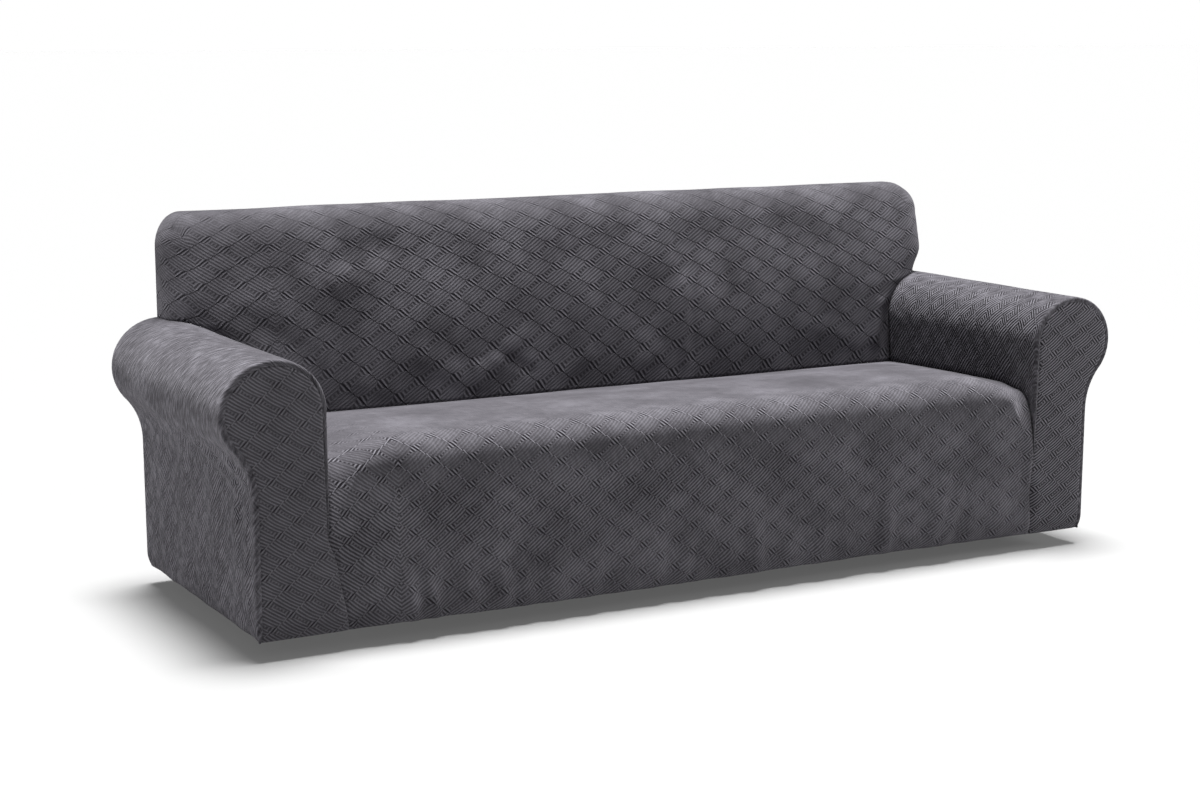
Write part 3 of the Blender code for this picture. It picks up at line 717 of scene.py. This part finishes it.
# seat and skirt, one piece from the crease at the back to the hem
seatPanel = {
    "flat": (1.86, 0.96),
    "columns": 264, "deckRows": 46, "edgeRows": 16, "skirtRows": 48,
    "weave": dict(
        lattice, blockAt=(-0.219, 0.166), turnAt=-0.765, blockLong=0.93, blockWide=0.96, blockEnd=0.64,
        ribStrength=0.65, ribLean=0.08, bow=0.03, ribbedTo=0.29, rungStrength=1.05, rungShade=0.03,
        rungsAbove=1.5, lineStrength=0.32, clouding=0.75, streaks=0.4, streakTurn=1.9),
    # where each thing starts and where it is full: depth, way in from the sides, height
    "skirtFrom": (-0.340, -0.370), "sideFade": (0.92, 0.87), "gatherFull": (0.0, 0.045),
    "gatherLeast": 0.25,   # share of a gather that the elastic leaves at the hem
    # the motif is pressed flat where people sit, and a little by the pull of the hem
    "satOn": (-0.21, -0.36), "satOnRelief": (0.16, 0.85),
    "pulled": (0.05, 0.25), "pulledRelief": (0.85, 1.15),
    # gathers over the elastic: place at the hem, lean, half width, height it fades at, depth
    "gathers": [
        (-0.800, -0.10, 0.030, 0.18, 0.0051), (-0.730, -0.20, 0.016, 0.17, 0.0154),
        (-0.682, -0.18, 0.015, 0.16, 0.0138), (-0.592, -0.25, 0.022, 0.19, 0.0078),
        (-0.520, -0.15, 0.020, 0.22, 0.0104), (-0.470, -0.04, 0.018, 0.15, 0.0090),
        (-0.400, 0.05, 0.022, 0.20, 0.0078), (-0.318, 0.25, 0.020, 0.19, 0.0104),
        (-0.240, 0.20, 0.022, 0.22, 0.0065), (-0.150, 0.15, 0.022, 0.16, 0.0078),
        (-0.080, 0.25, 0.020, 0.20, 0.0105), (-0.040, 0.30, 0.018, 0.19, 0.0091),
        (0.040, 0.10, 0.024, 0.18, 0.0064), (0.122, -0.10, 0.022, 0.22, 0.0105),
        (0.210, 0.05, 0.024, 0.17, 0.0064), (0.290, 0.10, 0.022, 0.21, 0.0078),
        (0.360, 0.08, 0.022, 0.18, 0.0064), (0.480, 0.07, 0.022, 0.26, 0.0131),
        (0.612, 0.30, 0.022, 0.26, 0.0144), (0.650, 0.38, 0.018, 0.24, 0.0131),
        (0.730, 0.15, 0.026, 0.20, 0.0064), (0.820, 0.10, 0.030, 0.17, 0.0053),
        (-0.760, -0.10, 0.050, 0.32, 0.0050), (-0.560, 0.10, 0.045, 0.33, 0.0055),
        (-0.360, 0.05, 0.050, 0.34, 0.0050), (-0.180, 0.15, 0.045, 0.32, 0.0055),
        (0.080, 0.05, 0.050, 0.34, 0.0050), (0.330, 0.10, 0.050, 0.33, 0.0055),
        (0.560, 0.20, 0.045, 0.34, 0.0060),
    ],
    # small creases on the skirt, x and z
    "creases": [
        (-0.428, 0.330, -0.428, 0.245, 0.006, 0.0012),
        (0.238, 0.300, 0.240, 0.250, 0.007, 0.0010),
        (-0.430, 0.252, 0.020, 0.268, 0.016, 0.0010),
        (0.130, 0.262, 0.620, 0.285, 0.018, 0.0008),
    ],
    # faint rubbed lines on the deck, x and y
    "wear": [
        (-0.80, -0.02, -0.20, -0.05, 0.020, 0.0010),
        (-0.30, 0.05, 0.40, 0.02, 0.022, 0.0010),
        (0.35, -0.08, 0.88, -0.04, 0.020, 0.0012),
        (0.72, 0.10, 0.90, -0.10, 0.012, 0.0010),
    ],
}


def makeSeat():
    rows = [("deck", share) for share in steps(0.0, 1.0, seatPanel["deckRows"])]
    rows += [("edge", share) for share in steps(0.0, 1.0, seatPanel["edgeRows"])]
    rows += [("skirt", z) for z in steps(seat["skirtTop"], 0.0, seatPanel["skirtRows"], last=True)]
    columns = steps(0.0, 1.0, seatPanel["columns"], last=True)

    def place(s, row):
        kind, value = row
        if kind == "deck":
            x = between(-seat["half"], seat["half"], s)
            sink = backCrevice(seat["creaseUp"]) * bump(seat["half"] - abs(x), backCrevices["wide"])
            y = between(seat["rear"] + sink, seat["skirtPlane"] + seat["edgeReach"], value)
            return x, y, deckHeight(x, y)
        if kind == "edge":
            half = armFaceOut(seatEdge(seat["half"], value)[0])
            x = between(-half, half, s)
            return (x, *seatEdge(x, value))
        atSeam = skirtHeight(value, 0.0)
        left, right = skirtEdge(-1, atSeam), skirtEdge(1, atSeam)
        x = between(-left.x, right.x, s)
        fromSeam = min(x + left.x, right.x - x)
        z = skirtHeight(value, fromSeam)
        wide = between(seat["cornerWideHem"], seat["cornerWide"], smooth(value / seat["skirtTop"]))
        y = between(seat["skirtPlane"] + hemCurl(z), left.y, bump(fromSeam, wide))
        return x, y, lifted(x, y, z)

    def relief(grid, across, up):
        x, y, z = grid[..., 0], grid[..., 1], grid[..., 2]
        onSkirt = fade(y, *seatPanel["skirtFrom"])
        inside = fade(np.abs(x), *seatPanel["sideFade"])
        shape = foldLines(x, z, seatPanel["creases"]) * onSkirt
        shape += foldLines(x, y, seatPanel["wear"]) * (1.0 - onSkirt)
        held = between(seatPanel["gatherLeast"], 1.0, fade(z, *seatPanel["gatherFull"]))
        for atHem, lean, wide, top, deep in seatPanel["gathers"]:
            shape += deep * held * fade(z, top, 0.0) * ridge(x - atHem - lean * z, wide) * onSkirt
        shape += cloth["uneven"] * slowWaves(x, up, 0.7) * inside
        strength = between(*seatPanel["satOnRelief"], fade(y, *seatPanel["satOn"]))
        strength = strength * between(*seatPanel["pulledRelief"], fade(z, *seatPanel["pulled"]))
        return shape * inside, strength

    def lay(grid, across):
        return grid[..., 0], aboveHem(grid)

    panel, area = sewPanel("seatAndSkirt", columns, rows, place, relief, seatPanel["weave"],
                           seams=("left", "right", "start"), flip=True, lay=lay)
    declare(panel, "seat", seatPanel["flat"], area)


# inside back, rolled over the top and round both sides
insideBack = {
    "flat": (2.24, 0.60),
    "columns": 240, "armRows": 16, "rollRows": 13, "faceRows": 24, "roundRows": 12,
    "flatMarks": (0.35, 0.70),
    "weave": dict(
        lattice, rise=33.0, along=0.0584, fall=35.0, beside=0.0549, blockAt=(0.261, 0.308), turnAt=-0.80,
        crowd=13.5, crowdFrom=0.17, blockWide=0.88, ribStrength=0.40, ribLean=0.02, bow=0.01,
        rungs=6, rungTilt=1.3, rungStrength=1.25, rungNeck=0.3, rungShade=0.09,
        lineStrength=0.90, waver=0.005, clouding=0.95),
    "faceFade": (0.98, 0.92),
    "uneven": 1.3,         # times the usual
    # stretched smoother low down, where it rolls over the top and towards the left
    "low": (0.45, 0.65), "lowRelief": (0.75, 1.0),
    "overTop": (0.755, 0.795), "overTopLess": 0.6,
    "leftward": (-0.80, -0.40), "leftwardRelief": (0.72, 1.0),
    # soft pulls on the face, x and z
    "pulls": [
        (0.252, 0.790, 0.232, 0.610, 0.030, 0.0050),
        (0.292, 0.630, 0.271, 0.380, 0.014, 0.0050),
        (0.314, 0.600, 0.302, 0.390, 0.012, -0.0035),
        (-0.305, 0.372, -0.300, 0.450, 0.018, 0.0040),
        (-0.300, 0.400, -0.150, 0.520, 0.020, 0.0030),
        (-0.270, 0.480, -0.140, 0.400, 0.014, -0.0030),
        (-0.330, 0.400, -0.480, 0.480, 0.026, 0.0030),
        (-0.500, 0.380, -0.640, 0.430, 0.030, 0.0025),
        (-0.080, 0.385, 0.020, 0.450, 0.024, 0.0025),
        (0.120, 0.390, 0.220, 0.440, 0.024, 0.0020),
        (-0.650, 0.700, -0.460, 0.740, 0.035, -0.0030),
        (-0.720, 0.640, -0.500, 0.650, 0.040, 0.0025),
        (-0.900, 0.600, -0.700, 0.480, 0.030, -0.0030),
        (-0.880, 0.540, -0.760, 0.400, 0.026, 0.0030),
        (1.005, 0.600, 0.885, 0.500, 0.016, 0.0060),
        (0.900, 0.530, 0.862, 0.390, 0.016, 0.0060),
        (-0.670, 0.640, -0.600, 0.680, 0.030, 0.0040),
        (-0.680, 0.715, -0.620, 0.735, 0.026, 0.0040),
        (-0.570, 0.745, -0.490, 0.730, 0.030, -0.0040),
        (0.870, 0.620, 0.780, 0.500, 0.030, -0.0025),
        (0.840, 0.400, 0.640, 0.480, 0.028, 0.0020),
    ],
}


def makeInsideBack():
    footDegrees = arm["footAngle"]
    rows = [("inner", v) for v in steps(0.0, 1.0, insideBack["armRows"])]
    rows += [("roll", d) for d in steps(-90.0, footDegrees, insideBack["rollRows"])]
    footRow = len(rows)
    band = [("round", share) for share in steps(0.0, 1.0, insideBack["roundRows"], last=True)[1:]]
    band += [("flat", share) for share in insideBack["flatMarks"]]
    band += [("rear", turn) for turn in back["rearTurns"]]
    rows += [("face", h) for h in steps(0.0, 1.0, insideBack["faceRows"], last=True)]
    rows += [("over", mark) for mark in band]
    faceColumns = [("face", s) for s in steps(-1.0, 1.0, insideBack["columns"], last=True)]
    columns = [("left", mark) for mark in reversed(band)] + faceColumns + [("right", mark) for mark in band]
    order = {mark: i + 1 for i, mark in enumerate(band)}

    def rolled(mark, z, wide, inward, start=0.0):
        kind, value = mark
        if kind == "round":
            return wide * value, sideTurn(z, value, start), 0.0
        if kind == "flat":
            rearY = body["halfDepth"] - back["rearEdge"]
            return wide, between(sideTurn(z, 1.0), rearY, value), 0.0
        across, along, _ = turned(value, back["rearEdge"])
        y = body["halfDepth"] - back["rearEdge"] * (1.0 - along)
        return wide + inward.x * across, y, inward.y * across

    def footOf(mark):
        # where the side band stands on the roll of the arm
        kind, value = mark
        joined = ("roll", arm["joinAngle"])
        if kind == "rear":
            return rearEdge(joined, value)
        share = value if kind == "round" else 1.0
        out = between(back["core"], back["armTopWide"], share)
        up = rollPoint(math.degrees(math.asin((out - arm["out"]) / arm["halfWide"])))[1]
        y = sideTurn(rollPoint(footDegrees)[1], share)
        if kind == "flat":
            y = between(y, body["halfDepth"] - back["rearEdge"], value)
        return out, y, up

    def corner(side, mark, other):
        above, beside = order[mark], order[other]
        lean = 45.0 * above / beside if above <= beside else 90.0 - 45.0 * beside / above
        outer = mark if above >= beside else other
        inward = Vector((-1.0, 0.0))
        out, y, _ = rolled(outer, back["top"], backRound(side), inward, back["overStart"] * lean / 90.0)
        up = rolled(outer, back["top"], back["round"], inward)[0]
        angle = math.radians(lean)
        return side * (back["core"] + out * math.cos(angle)), y, back["top"] + up * math.sin(angle)

    def place(column, row):
        where, mark = column
        side = {"left": -1, "right": 1}.get(where, 0)
        kind, value = row
        if kind == "over":
            if side:
                return corner(side, value, mark)
            out, y, _ = rolled(value, back["top"], back["round"], Vector((-1.0, 0.0)), back["overStart"])
            return mark * back["core"], y, back["top"] + out
        if side:
            out, y, up = footOf(mark)
            if kind != "face" or value == 0.0:
                return side * out, y, up
            foot = rollPoint(arm["joinAngle"])[1] if mark[0] == "rear" else up
            z = between(foot, back["top"], value)
            spread, y, lift = rolled(mark, z, backSideRound(side, z), backSideInward(z))
            return side * (back["core"] + spread), y, z + lift
        if kind == "face":
            z = between(rollPoint(footDegrees)[1], back["top"], value)
            edge = back["core"]
        else:
            edge, z, _ = outlinePoint(row, seat["creaseUp"])
        x = mark * edge
        return x, backFace(z) + backCrevice(z) * bump(edge - abs(x), backCrevices["wide"]), z

    def keep(column, row):
        return row >= footRow or len(band) <= column < len(band) + len(faceColumns) - 1

    def relief(grid, across, up):
        x, z = grid[..., 0], grid[..., 2]
        onFace = fade(np.abs(x), *insideBack["faceFade"])
        shape = foldLines(x, z, insideBack["pulls"]) * onFace
        shape += insideBack["uneven"] * cloth["uneven"] * slowWaves(x, z, 2.2) * onFace
        strength = between(*insideBack["lowRelief"], fade(z, *insideBack["low"]))
        strength = strength - insideBack["overTopLess"] * fade(z, *insideBack["overTop"])
        strength = strength * between(*insideBack["leftwardRelief"], fade(x, *insideBack["leftward"]))
        return shape, strength

    panel, area = sewPanel("insideBackPanel", columns, rows, place, relief, insideBack["weave"],
                           seams=("left", "right", "end"), keep=keep)
    declare(panel, "inside_back", insideBack["flat"], area)


# outside back, one flat panel down to the hem
outsideBack = {
    "flat": (2.27, 0.83),
    "columns": 170, "wallRows": 24, "underRows": 8, "rollRows": 26, "sideRows": 14, "cornerRows": 12,
    "leastRow": 0.0008,    # each row stays at least this far below the next
    "weave": dict(
        lattice, along=0.055, fall=35.0, beside=0.054, blockWide=0.92, blockEnd=0.54, ribStrength=0.55,
        ribLean=0.04, rungTilt=1.5, rungStrength=1.4, rungNeck=0.35, lineStrength=0.3, waver=0.005,
        streaks=0.2),
    "sideFade": (0.0, 0.06), "topFade": (0.80, 0.75),
    # slack hanging from the top seam, x and z
    "hangs": [
        (-0.80, 0.70, -0.84, 0.10, 0.060, 0.0020), (-0.42, 0.72, -0.45, 0.06, 0.070, -0.0020),
        (-0.05, 0.76, -0.02, 0.08, 0.080, 0.0018), (0.38, 0.70, 0.42, 0.06, 0.070, -0.0022),
        (0.78, 0.70, 0.83, 0.10, 0.060, 0.0020), (-0.98, 0.52, -0.60, 0.10, 0.040, 0.0020),
        (0.98, 0.52, 0.62, 0.12, 0.040, 0.0020),
    ],
}


def rearOutline():
    # from the hem up the arm and round the roll to the side of the back
    marks = [("wall", h) for h in steps(0.0, arm["wallTop"], outsideBack["wallRows"])]
    marks += [("under", u) for u in steps(1.0, 0.0, outsideBack["underRows"])]
    rolled = steps(arm["lastAngle"], arm["joinAngle"], outsideBack["rollRows"], last=True)
    marks += [("roll", d) for d in rolled]
    return marks


def rearSeam(side):
    inset = back["rearEdge"] + body["seamFlat"]
    seam = [rearEdge(mark, 2.0) for mark in rearOutline()]
    seam = [(out, up) for out, _, up in seam]
    rollTop = arm["up"] + arm["halfHigh"]
    for z in steps(rollTop, back["top"], outsideBack["sideRows"], last=True)[1:]:
        inward = backSideInward(z) * inset
        seam.append((back["core"] + backSideRound(side, z) + inward.x, z + inward.y))
    for angle in steps(0.0, math.radians(90.0), outsideBack["cornerRows"], last=True)[1:]:
        out = back["core"] + (backRound(side) - inset) * math.cos(angle)
        seam.append((out, back["top"] + (back["round"] - inset) * math.sin(angle)))
    for i in range(len(seam) - 2, -1, -1):
        out, up = seam[i]
        seam[i] = (out, min(up, seam[i + 1][1] - outsideBack["leastRow"]))
    return seam


def makeOutsideBack():
    left, right = rearSeam(-1), rearSeam(1)
    rows = list(range(len(left)))
    columns = steps(0.0, 1.0, outsideBack["columns"], last=True)

    def place(s, row):
        z = left[row][1]
        x = between(right[row][0], -left[row][0], s)
        y = body["halfDepth"] - hemCurl(z)
        return x, y, lifted(x, y, z)

    def relief(grid, across, up):
        x, z = grid[..., 0], grid[..., 2]
        toSide = np.minimum(across - across[:, :1], across[:, -1:] - across)
        inside = fade(toSide, *outsideBack["sideFade"]) * fade(z, *outsideBack["topFade"])
        shape = foldLines(x, z, outsideBack["hangs"]) + cloth["uneven"] * slowWaves(x, z, 4.1)
        return shape * inside, np.ones_like(x)

    def lay(grid, across):
        return grid[..., 0], grid[..., 2]

    panel, area = sewPanel("outsideBackPanel", columns, rows, place, relief, outsideBack["weave"],
                           seams=("left", "right", "end"), lay=lay)
    declare(panel, "outside_back", outsideBack["flat"], area)


# arm sleeves, from the seat over the roll and down to the hem
armSleeve = {
    "flat": (0.80, 1.12),
    "innerRows": 14, "footRows": 15, "joinRows": 8, "rollRows": 32, "underRows": 14, "wallRows": 42,
    "frontTurns": (2.0, 1.0, 0.85, 0.7, 0.55, 0.4, 0.25, 0.1),
    "runColumns": 74, "midMarks": (0.25, 0.5, 0.75),
    "straightColumn": 38,  # the pattern lies straight along this one
    "weave": dict(
        lattice, rise=52.0, along=0.044, fall=44.0, beside=0.053, blockAt=(0.0, 0.05), blockWide=0.82,
        rungs=6, rungTilt=1.0, rungStrength=1.8, waver=0.008, streaks=1.6, streakTurn=2.18),
    "rightTurn": 0.88,     # the streaks' turn on the right arm
    # the outer wall is drawn in a little under the roll, over this height down from the top
    "drawnIn": 0.003, "drawnOver": 0.10, "drawnTop": 0.40,
    # its hangs set in and die away over these heights, the last past their bottom
    "hangIn": 0.12, "hangOut": 0.10, "hangPast": 0.06,
    "endFade": 0.06,
    # where the smaller folds start and where they are full: out, height, way in from front and rear
    "outer": (1.06, 1.09), "below": (0.50, 0.44), "frontFade": (-0.363, -0.333), "rearFade": (0.361, 0.311),
    "uneven": 0.8,         # times the usual
    # the motif is stretched nearly smooth over the roll, most on the left arm
    "roll": (0.36, 0.42), "rollOut": (0.95, 1.01), "rollLessLeft": 0.88, "rollLessRight": 0.60,
    # the motif stands deeper on the inner face; past a strength of 1 this also paints shade into the colour
    # there
    "inner": (0.98, 0.93), "innerMore": 1.0,
    "edgeFrom": (-0.371, -0.351), "edgeRelief": (0.15, 1.0),
    # soft hangs in the outer wall: place along the arm at the hem, lean, half width, top, bottom, depth
    "hangs": [
        (-0.330, 0.20, 0.030, 0.40, 0.05, 0.0050), (-0.250, -0.10, 0.035, 0.38, 0.00, 0.0040),
        (-0.150, 0.12, 0.045, 0.42, 0.04, 0.0045), (-0.030, 0.05, 0.040, 0.36, 0.00, 0.0035),
        (0.090, -0.08, 0.045, 0.42, 0.02, 0.0045), (0.210, 0.10, 0.040, 0.40, 0.00, 0.0040),
        (0.300, 0.00, 0.030, 0.36, 0.06, 0.0030),
    ],
    # ridges drawn from the underside of the roll to the front edge, y and z
    "draws": [
        (0.260, 0.480, -0.330, 0.300, 0.018, 0.0065),
        (0.150, 0.400, -0.345, 0.270, 0.012, -0.0045),
        (-0.040, 0.430, -0.352, 0.335, 0.014, 0.0060),
        (-0.100, 0.385, -0.352, 0.300, 0.010, -0.0050),
        (-0.240, 0.390, -0.352, 0.330, 0.010, 0.0040),
        (-0.335, 0.330, -0.325, 0.060, 0.014, 0.0045),
        (-0.300, 0.310, -0.285, 0.080, 0.014, -0.0035),
        (-0.200, 0.240, -0.330, 0.120, 0.020, 0.0020),
    ],
    # short creases that radiate on the roll beside the back: along the arm and length over the roll
    "rays": [
        (0.240, 0.190, 0.120, 0.150, 0.007, 0.0020), (0.245, 0.215, 0.110, 0.195, 0.006, 0.0018),
        (0.240, 0.160, 0.150, 0.110, 0.007, -0.0018), (0.230, 0.235, 0.090, 0.240, 0.006, 0.0015),
        (0.200, 0.180, 0.060, 0.140, 0.009, -0.0012),
    ],
}


def armMarks():
    marks = [("inner", v) for v in steps(0.0, 1.0, armSleeve["innerRows"])]
    marks += [("roll", d) for d in steps(-90.0, arm["footAngle"], armSleeve["footRows"])]
    marks += [("roll", d) for d in steps(arm["footAngle"], arm["joinAngle"], armSleeve["joinRows"])]
    marks += [("roll", d) for d in steps(arm["joinAngle"], arm["lastAngle"], armSleeve["rollRows"])]
    marks += [("under", u) for u in steps(0.0, 1.0, armSleeve["underRows"])]
    marks += [("wall", h) for h in steps(arm["wallTop"], 0.0, armSleeve["wallRows"], last=True)]
    return marks


def wallHang(y, z):
    # the wide hangs of the outer wall, as the solid under it has them too
    hang = -armSleeve["drawnIn"] * smooth((armSleeve["drawnTop"] - z) / armSleeve["drawnOver"])
    for along, lean, wide, top, bottom, deep in armSleeve["hangs"]:
        share = smooth((top - z) / armSleeve["hangIn"])
        share *= smooth((z - bottom + armSleeve["hangPast"]) / armSleeve["hangOut"])
        hang += deep * share * bump(y - along - lean * z, wide)
    fromFront = y + body["halfDepth"] - arm["edge"]
    fromRear = body["halfDepth"] - back["rearEdge"] - y
    return hang * smooth(fromFront / armSleeve["endFade"]) * smooth(fromRear / armSleeve["endFade"])


def makeSleeve(side):
    rows = armMarks()
    joinRow = rows.index(("roll", arm["joinAngle"]))
    front = [("front", turn) for turn in armSleeve["frontTurns"]]
    run = [("run", share) for share in steps(0.0, 1.0, armSleeve["runColumns"], last=True)]
    rear = [("mid", share) for share in armSleeve["midMarks"]]
    rear += [("rear", turn) for turn in back["rearTurns"]]
    runColumn = len(front) + len(run) - 1

    def runEnd(station):
        # where the sleeve meets the back, or would run on past it
        row = min(rows.index(station), joinRow)
        out, up, _ = outlinePoint(rows[row], seat["creaseUp"])
        if out <= back["core"]:
            return backFace(up) + backCrevice(up)
        share = (out - back["core"]) / (back["armTopWide"] - back["core"])
        return sideTurn(rollPoint(arm["footAngle"])[1], share)

    ends = {station: runEnd(station) for station in rows}

    def place(column, station):
        kind, value = column
        if kind == "front":
            out, y, up = armFrontEdge(station, value)
        elif kind == "rear":
            out, y, up = rearEdge(station, value)
        else:
            start, end = -body["halfDepth"] + arm["edge"], ends[station]
            if kind == "mid":
                start, end = end, body["halfDepth"] - back["rearEdge"]
            y = between(start, end, value)
            out, up, _ = outlinePoint(station, seatEdgeLine(y))
            out -= hemCurl(up)
        if station[0] in ("under", "wall"):
            out += wallHang(y, up)
        return side * out, y, lifted(side * out, y, up)

    def keep(column, row):
        return column < runColumn or row >= joinRow

    def relief(grid, across, up):
        out, y, z = np.abs(grid[..., 0]), grid[..., 1], grid[..., 2]
        outer = fade(out, *armSleeve["outer"]) * fade(z, *armSleeve["below"])
        ending = fade(y, *armSleeve["frontFade"]) * fade(y, *armSleeve["rearFade"])
        shape = foldLines(y, z, armSleeve["draws"]) * outer * ending
        shape += foldLines(y, up, armSleeve["rays"])
        shape += armSleeve["uneven"] * cloth["uneven"] * slowWaves(y, up, 5.0 + side) * ending
        onRoll = fade(z, *armSleeve["roll"]) * fade(out, *armSleeve["rollOut"])
        less = armSleeve["rollLessLeft"] if side < 0 else armSleeve["rollLessRight"]
        strength = 1.0 - less * onRoll + armSleeve["innerMore"] * fade(out, *armSleeve["inner"])
        return shape, strength * between(*armSleeve["edgeRelief"], fade(y, *armSleeve["edgeFrom"]))

    def lay(grid, across):
        return across, aboveHem(grid)

    if side < 0:
        name, node, weave = "armSleeveLeft", "arm_left", dict(armSleeve["weave"], mirrored=True)
    else:
        name, node = "armSleeveRight", "arm_right"
        weave = dict(armSleeve["weave"], streakTurn=armSleeve["rightTurn"])
    panel, area = sewPanel(name, front + run + rear, rows, place, relief, weave,
                           seams=("left", "right", "start"), keep=keep, flip=side > 0,
                           middle=armSleeve["straightColumn"], lay=lay)
    declare(panel, node, armSleeve["flat"], area)


# arm fronts, keyhole shaped
armFront = {
    "flat": (0.26, 0.57),
    "columns": 34, "rows": 74, "skirtRows": 30,
    "weave": dict(
        lattice, rise=30.0, beside=0.049, blockLong=0.93, blockEnd=0.62, ribStrength=0.75, ribLean=0.06,
        bow=0.04, rungShade=0.03, lineStrength=0.25, clouding=0.4),
    "creviceWide": 0.012,
    "uneven": 0.5,         # times the usual
    # strength of the motif on each front; past 1 it also paints a little shade into the colour
    "reliefLeft": 0.55, "reliefRight": 1.15,
}


def evenly(points, count):
    # the same line with evenly spaced points
    lengths = [0.0]
    for a, b in zip(points, points[1:]):
        lengths.append(lengths[-1] + (b - a).length)
    even, spot = [], 0
    for i in range(count + 1):
        goal = lengths[-1] * i / count
        while spot < len(points) - 2 and lengths[spot + 1] < goal:
            spot += 1
        share = (goal - lengths[spot]) / (lengths[spot + 1] - lengths[spot])
        even.append(points[spot].lerp(points[spot + 1], share))
    return even


def makeArmFront(side):
    stations = armMarks()
    seams = [Vector(armFrontEdge(station, 2.0)) for station in stations]
    rollRows = [i for i, (kind, _) in enumerate(stations) if kind == "roll"]
    shoulderIn = min(rollRows, key=lambda i: abs(stations[i][1] + arm["shoulder"]))
    shoulderOut = min(rollRows, key=lambda i: abs(stations[i][1] - arm["shoulder"]))
    skirtSeam = [skirtEdge(side, z) for z in steps(0.0, seat["cornerUp"], armFront["skirtRows"], last=True)]
    wide, high = armFront["columns"], armFront["rows"]
    inner = evenly(skirtSeam + seams[:shoulderIn + 1], high)
    over = evenly(seams[shoulderIn:shoulderOut + 1], wide)
    outer = evenly(seams[shoulderOut:][::-1], high)

    def place(column, row):
        # blended from the panel's four sides
        u, v = column / wide, row / high
        hem = inner[0].lerp(outer[0], u)
        sides = inner[row].lerp(outer[row], u)
        ends = hem.lerp(over[column], v)
        corners = hem.lerp(inner[-1].lerp(outer[-1], u), v)
        point = sides + ends - corners
        sunk = inner[row].y + body["halfDepth"] - hemCurl(inner[row].z)
        y = -body["halfDepth"] + hemCurl(point.z)
        y += sunk * bump(point.x - inner[row].x, armFront["creviceWide"])
        return side * point.x, y, lifted(side * point.x, y, point.z)

    def relief(grid, across, up):
        x, z = grid[..., 0], grid[..., 2]
        strength = armFront["reliefLeft"] if side < 0 else armFront["reliefRight"]
        shape = armFront["uneven"] * cloth["uneven"] * slowWaves(x, z, 8.0 + side)
        return shape, np.full_like(x, strength)

    def lay(grid, across):
        return side * grid[..., 0] - seat["half"], grid[..., 2]

    name, node = ("armFrontLeft", "arm_front_left") if side < 0 else ("armFrontRight", "arm_front_right")
    panel, area = sewPanel(name, list(range(wide + 1)), list(range(high + 1)), place, relief,
                           armFront["weave"], seams=("left", "right", "end"), flip=side < 0, lay=lay)
    declare(panel, node, armFront["flat"], area)


makeSeat()
makeInsideBack()
makeOutsideBack()
for side in (-1, 1):
    makeSleeve(side)
    makeArmFront(side)

# floor and light
studio = {
    "floorBelow": 0.04,    # the hem hangs this far above the floor
    "floorSize": 200.0,
    "floorColour": "#9e9e9e",
    "floorPaintedGlow": 0.10,     # painted light: it glows to the camera alone and lights nothing, so that shade on the floor stays pale
    "floorBounce": "#949494",  # what it throws back on the cloth
    "skyStrength": 0.12,
    "skySeen": 1.0,
    "skyColour": "#ffffff",
    "topStrength": 7.9,
    "topSoft": 24.0,
    "topFrom": (0.06, 0.055, 1.0),
    # soft panels: watts, size, place, what each is turned towards
    "panels": [
        (17.0, (1.6, 0.4), (-3.1, 0.3, 0.15), (-1.08, 0.0, 0.15)),
        (28.0, (0.9, 0.6), (3.4, -1.35, 0.90), (0.6, -0.37, 0.35)),
    ],
}


def addPanelLight(watts, size, place, towards):
    data = bpy.data.lights.new("panelLight", "AREA")
    data.shape = "RECTANGLE"
    data.size, data.size_y = size
    data.energy = watts
    lamp = bpy.data.objects.new("panelLight", data)
    lamp.location = place
    lamp.rotation_euler = (Vector(place) - Vector(towards)).to_track_quat("Z", "Y").to_euler()
    bpy.context.collection.objects.link(lamp)


def addStudio():
    bpy.ops.mesh.primitive_plane_add(size=studio["floorSize"], location=(0, 0, -studio["floorBelow"]))
    floor = bpy.context.object
    floor.name = "floor"
    # matt painted board: it takes the cover's shade and mirrors nothing; to the camera alone it is a little
    # paler and glows, which is painted light that keeps the shade on it pale
    paint = bpy.data.materials.new("matt painted board floor")
    paint.use_nodes = True
    tree = paint.node_tree
    shader = tree.nodes["Principled BSDF"]
    seen = wire(tree, "LightPath", {}, out="Is Camera Ray")
    colour = wire(tree, "ValToRGB", {"Fac": seen})
    colour.node.color_ramp.elements[0].color = linear(studio["floorBounce"])
    colour.node.color_ramp.elements[1].color = linear(studio["floorColour"])
    paintedGlow = wire(tree, "Math", (seen, studio["floorPaintedGlow"]), operation="MULTIPLY")
    tree.links.new(colour, shader.inputs["Base Color"])
    tree.links.new(paintedGlow, shader.inputs["Emission Strength"])
    shader.inputs["Roughness"].default_value = 1.0
    shader.inputs["Specular IOR Level"].default_value = 0.0
    floor.data.materials.append(paint)
    floor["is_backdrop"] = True

    # the sky looks white but lights the room only a little
    world = bpy.data.worlds.new("studio")
    world.use_nodes = True
    tree = world.node_tree
    sky = tree.nodes["Background"]
    seen = wire(tree, "LightPath", {}, out="Is Camera Ray")
    gain = studio["skySeen"] - studio["skyStrength"]
    bright = wire(tree, "Math", (seen, gain, studio["skyStrength"]), operation="MULTIPLY_ADD")
    tree.links.new(bright, sky.inputs["Strength"])
    sky.inputs["Color"].default_value = linear(studio["skyColour"])
    bpy.context.scene.world = world

    top = bpy.data.lights.new("topLight", "SUN")
    top.energy = studio["topStrength"]
    top.angle = math.radians(studio["topSoft"])
    lamp = bpy.data.objects.new("topLight", top)
    lamp.rotation_euler = Vector(studio["topFrom"]).to_track_quat("Z", "Y").to_euler()
    bpy.context.collection.objects.link(lamp)
    for panel in studio["panels"]:
        addPanelLight(*panel)
    bpy.context.scene.view_settings.view_transform = "Standard"


addStudio()
print("studio lit")

plain = [[[float(n) for n in corner] for corner in box] for box in (cadBox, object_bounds())]
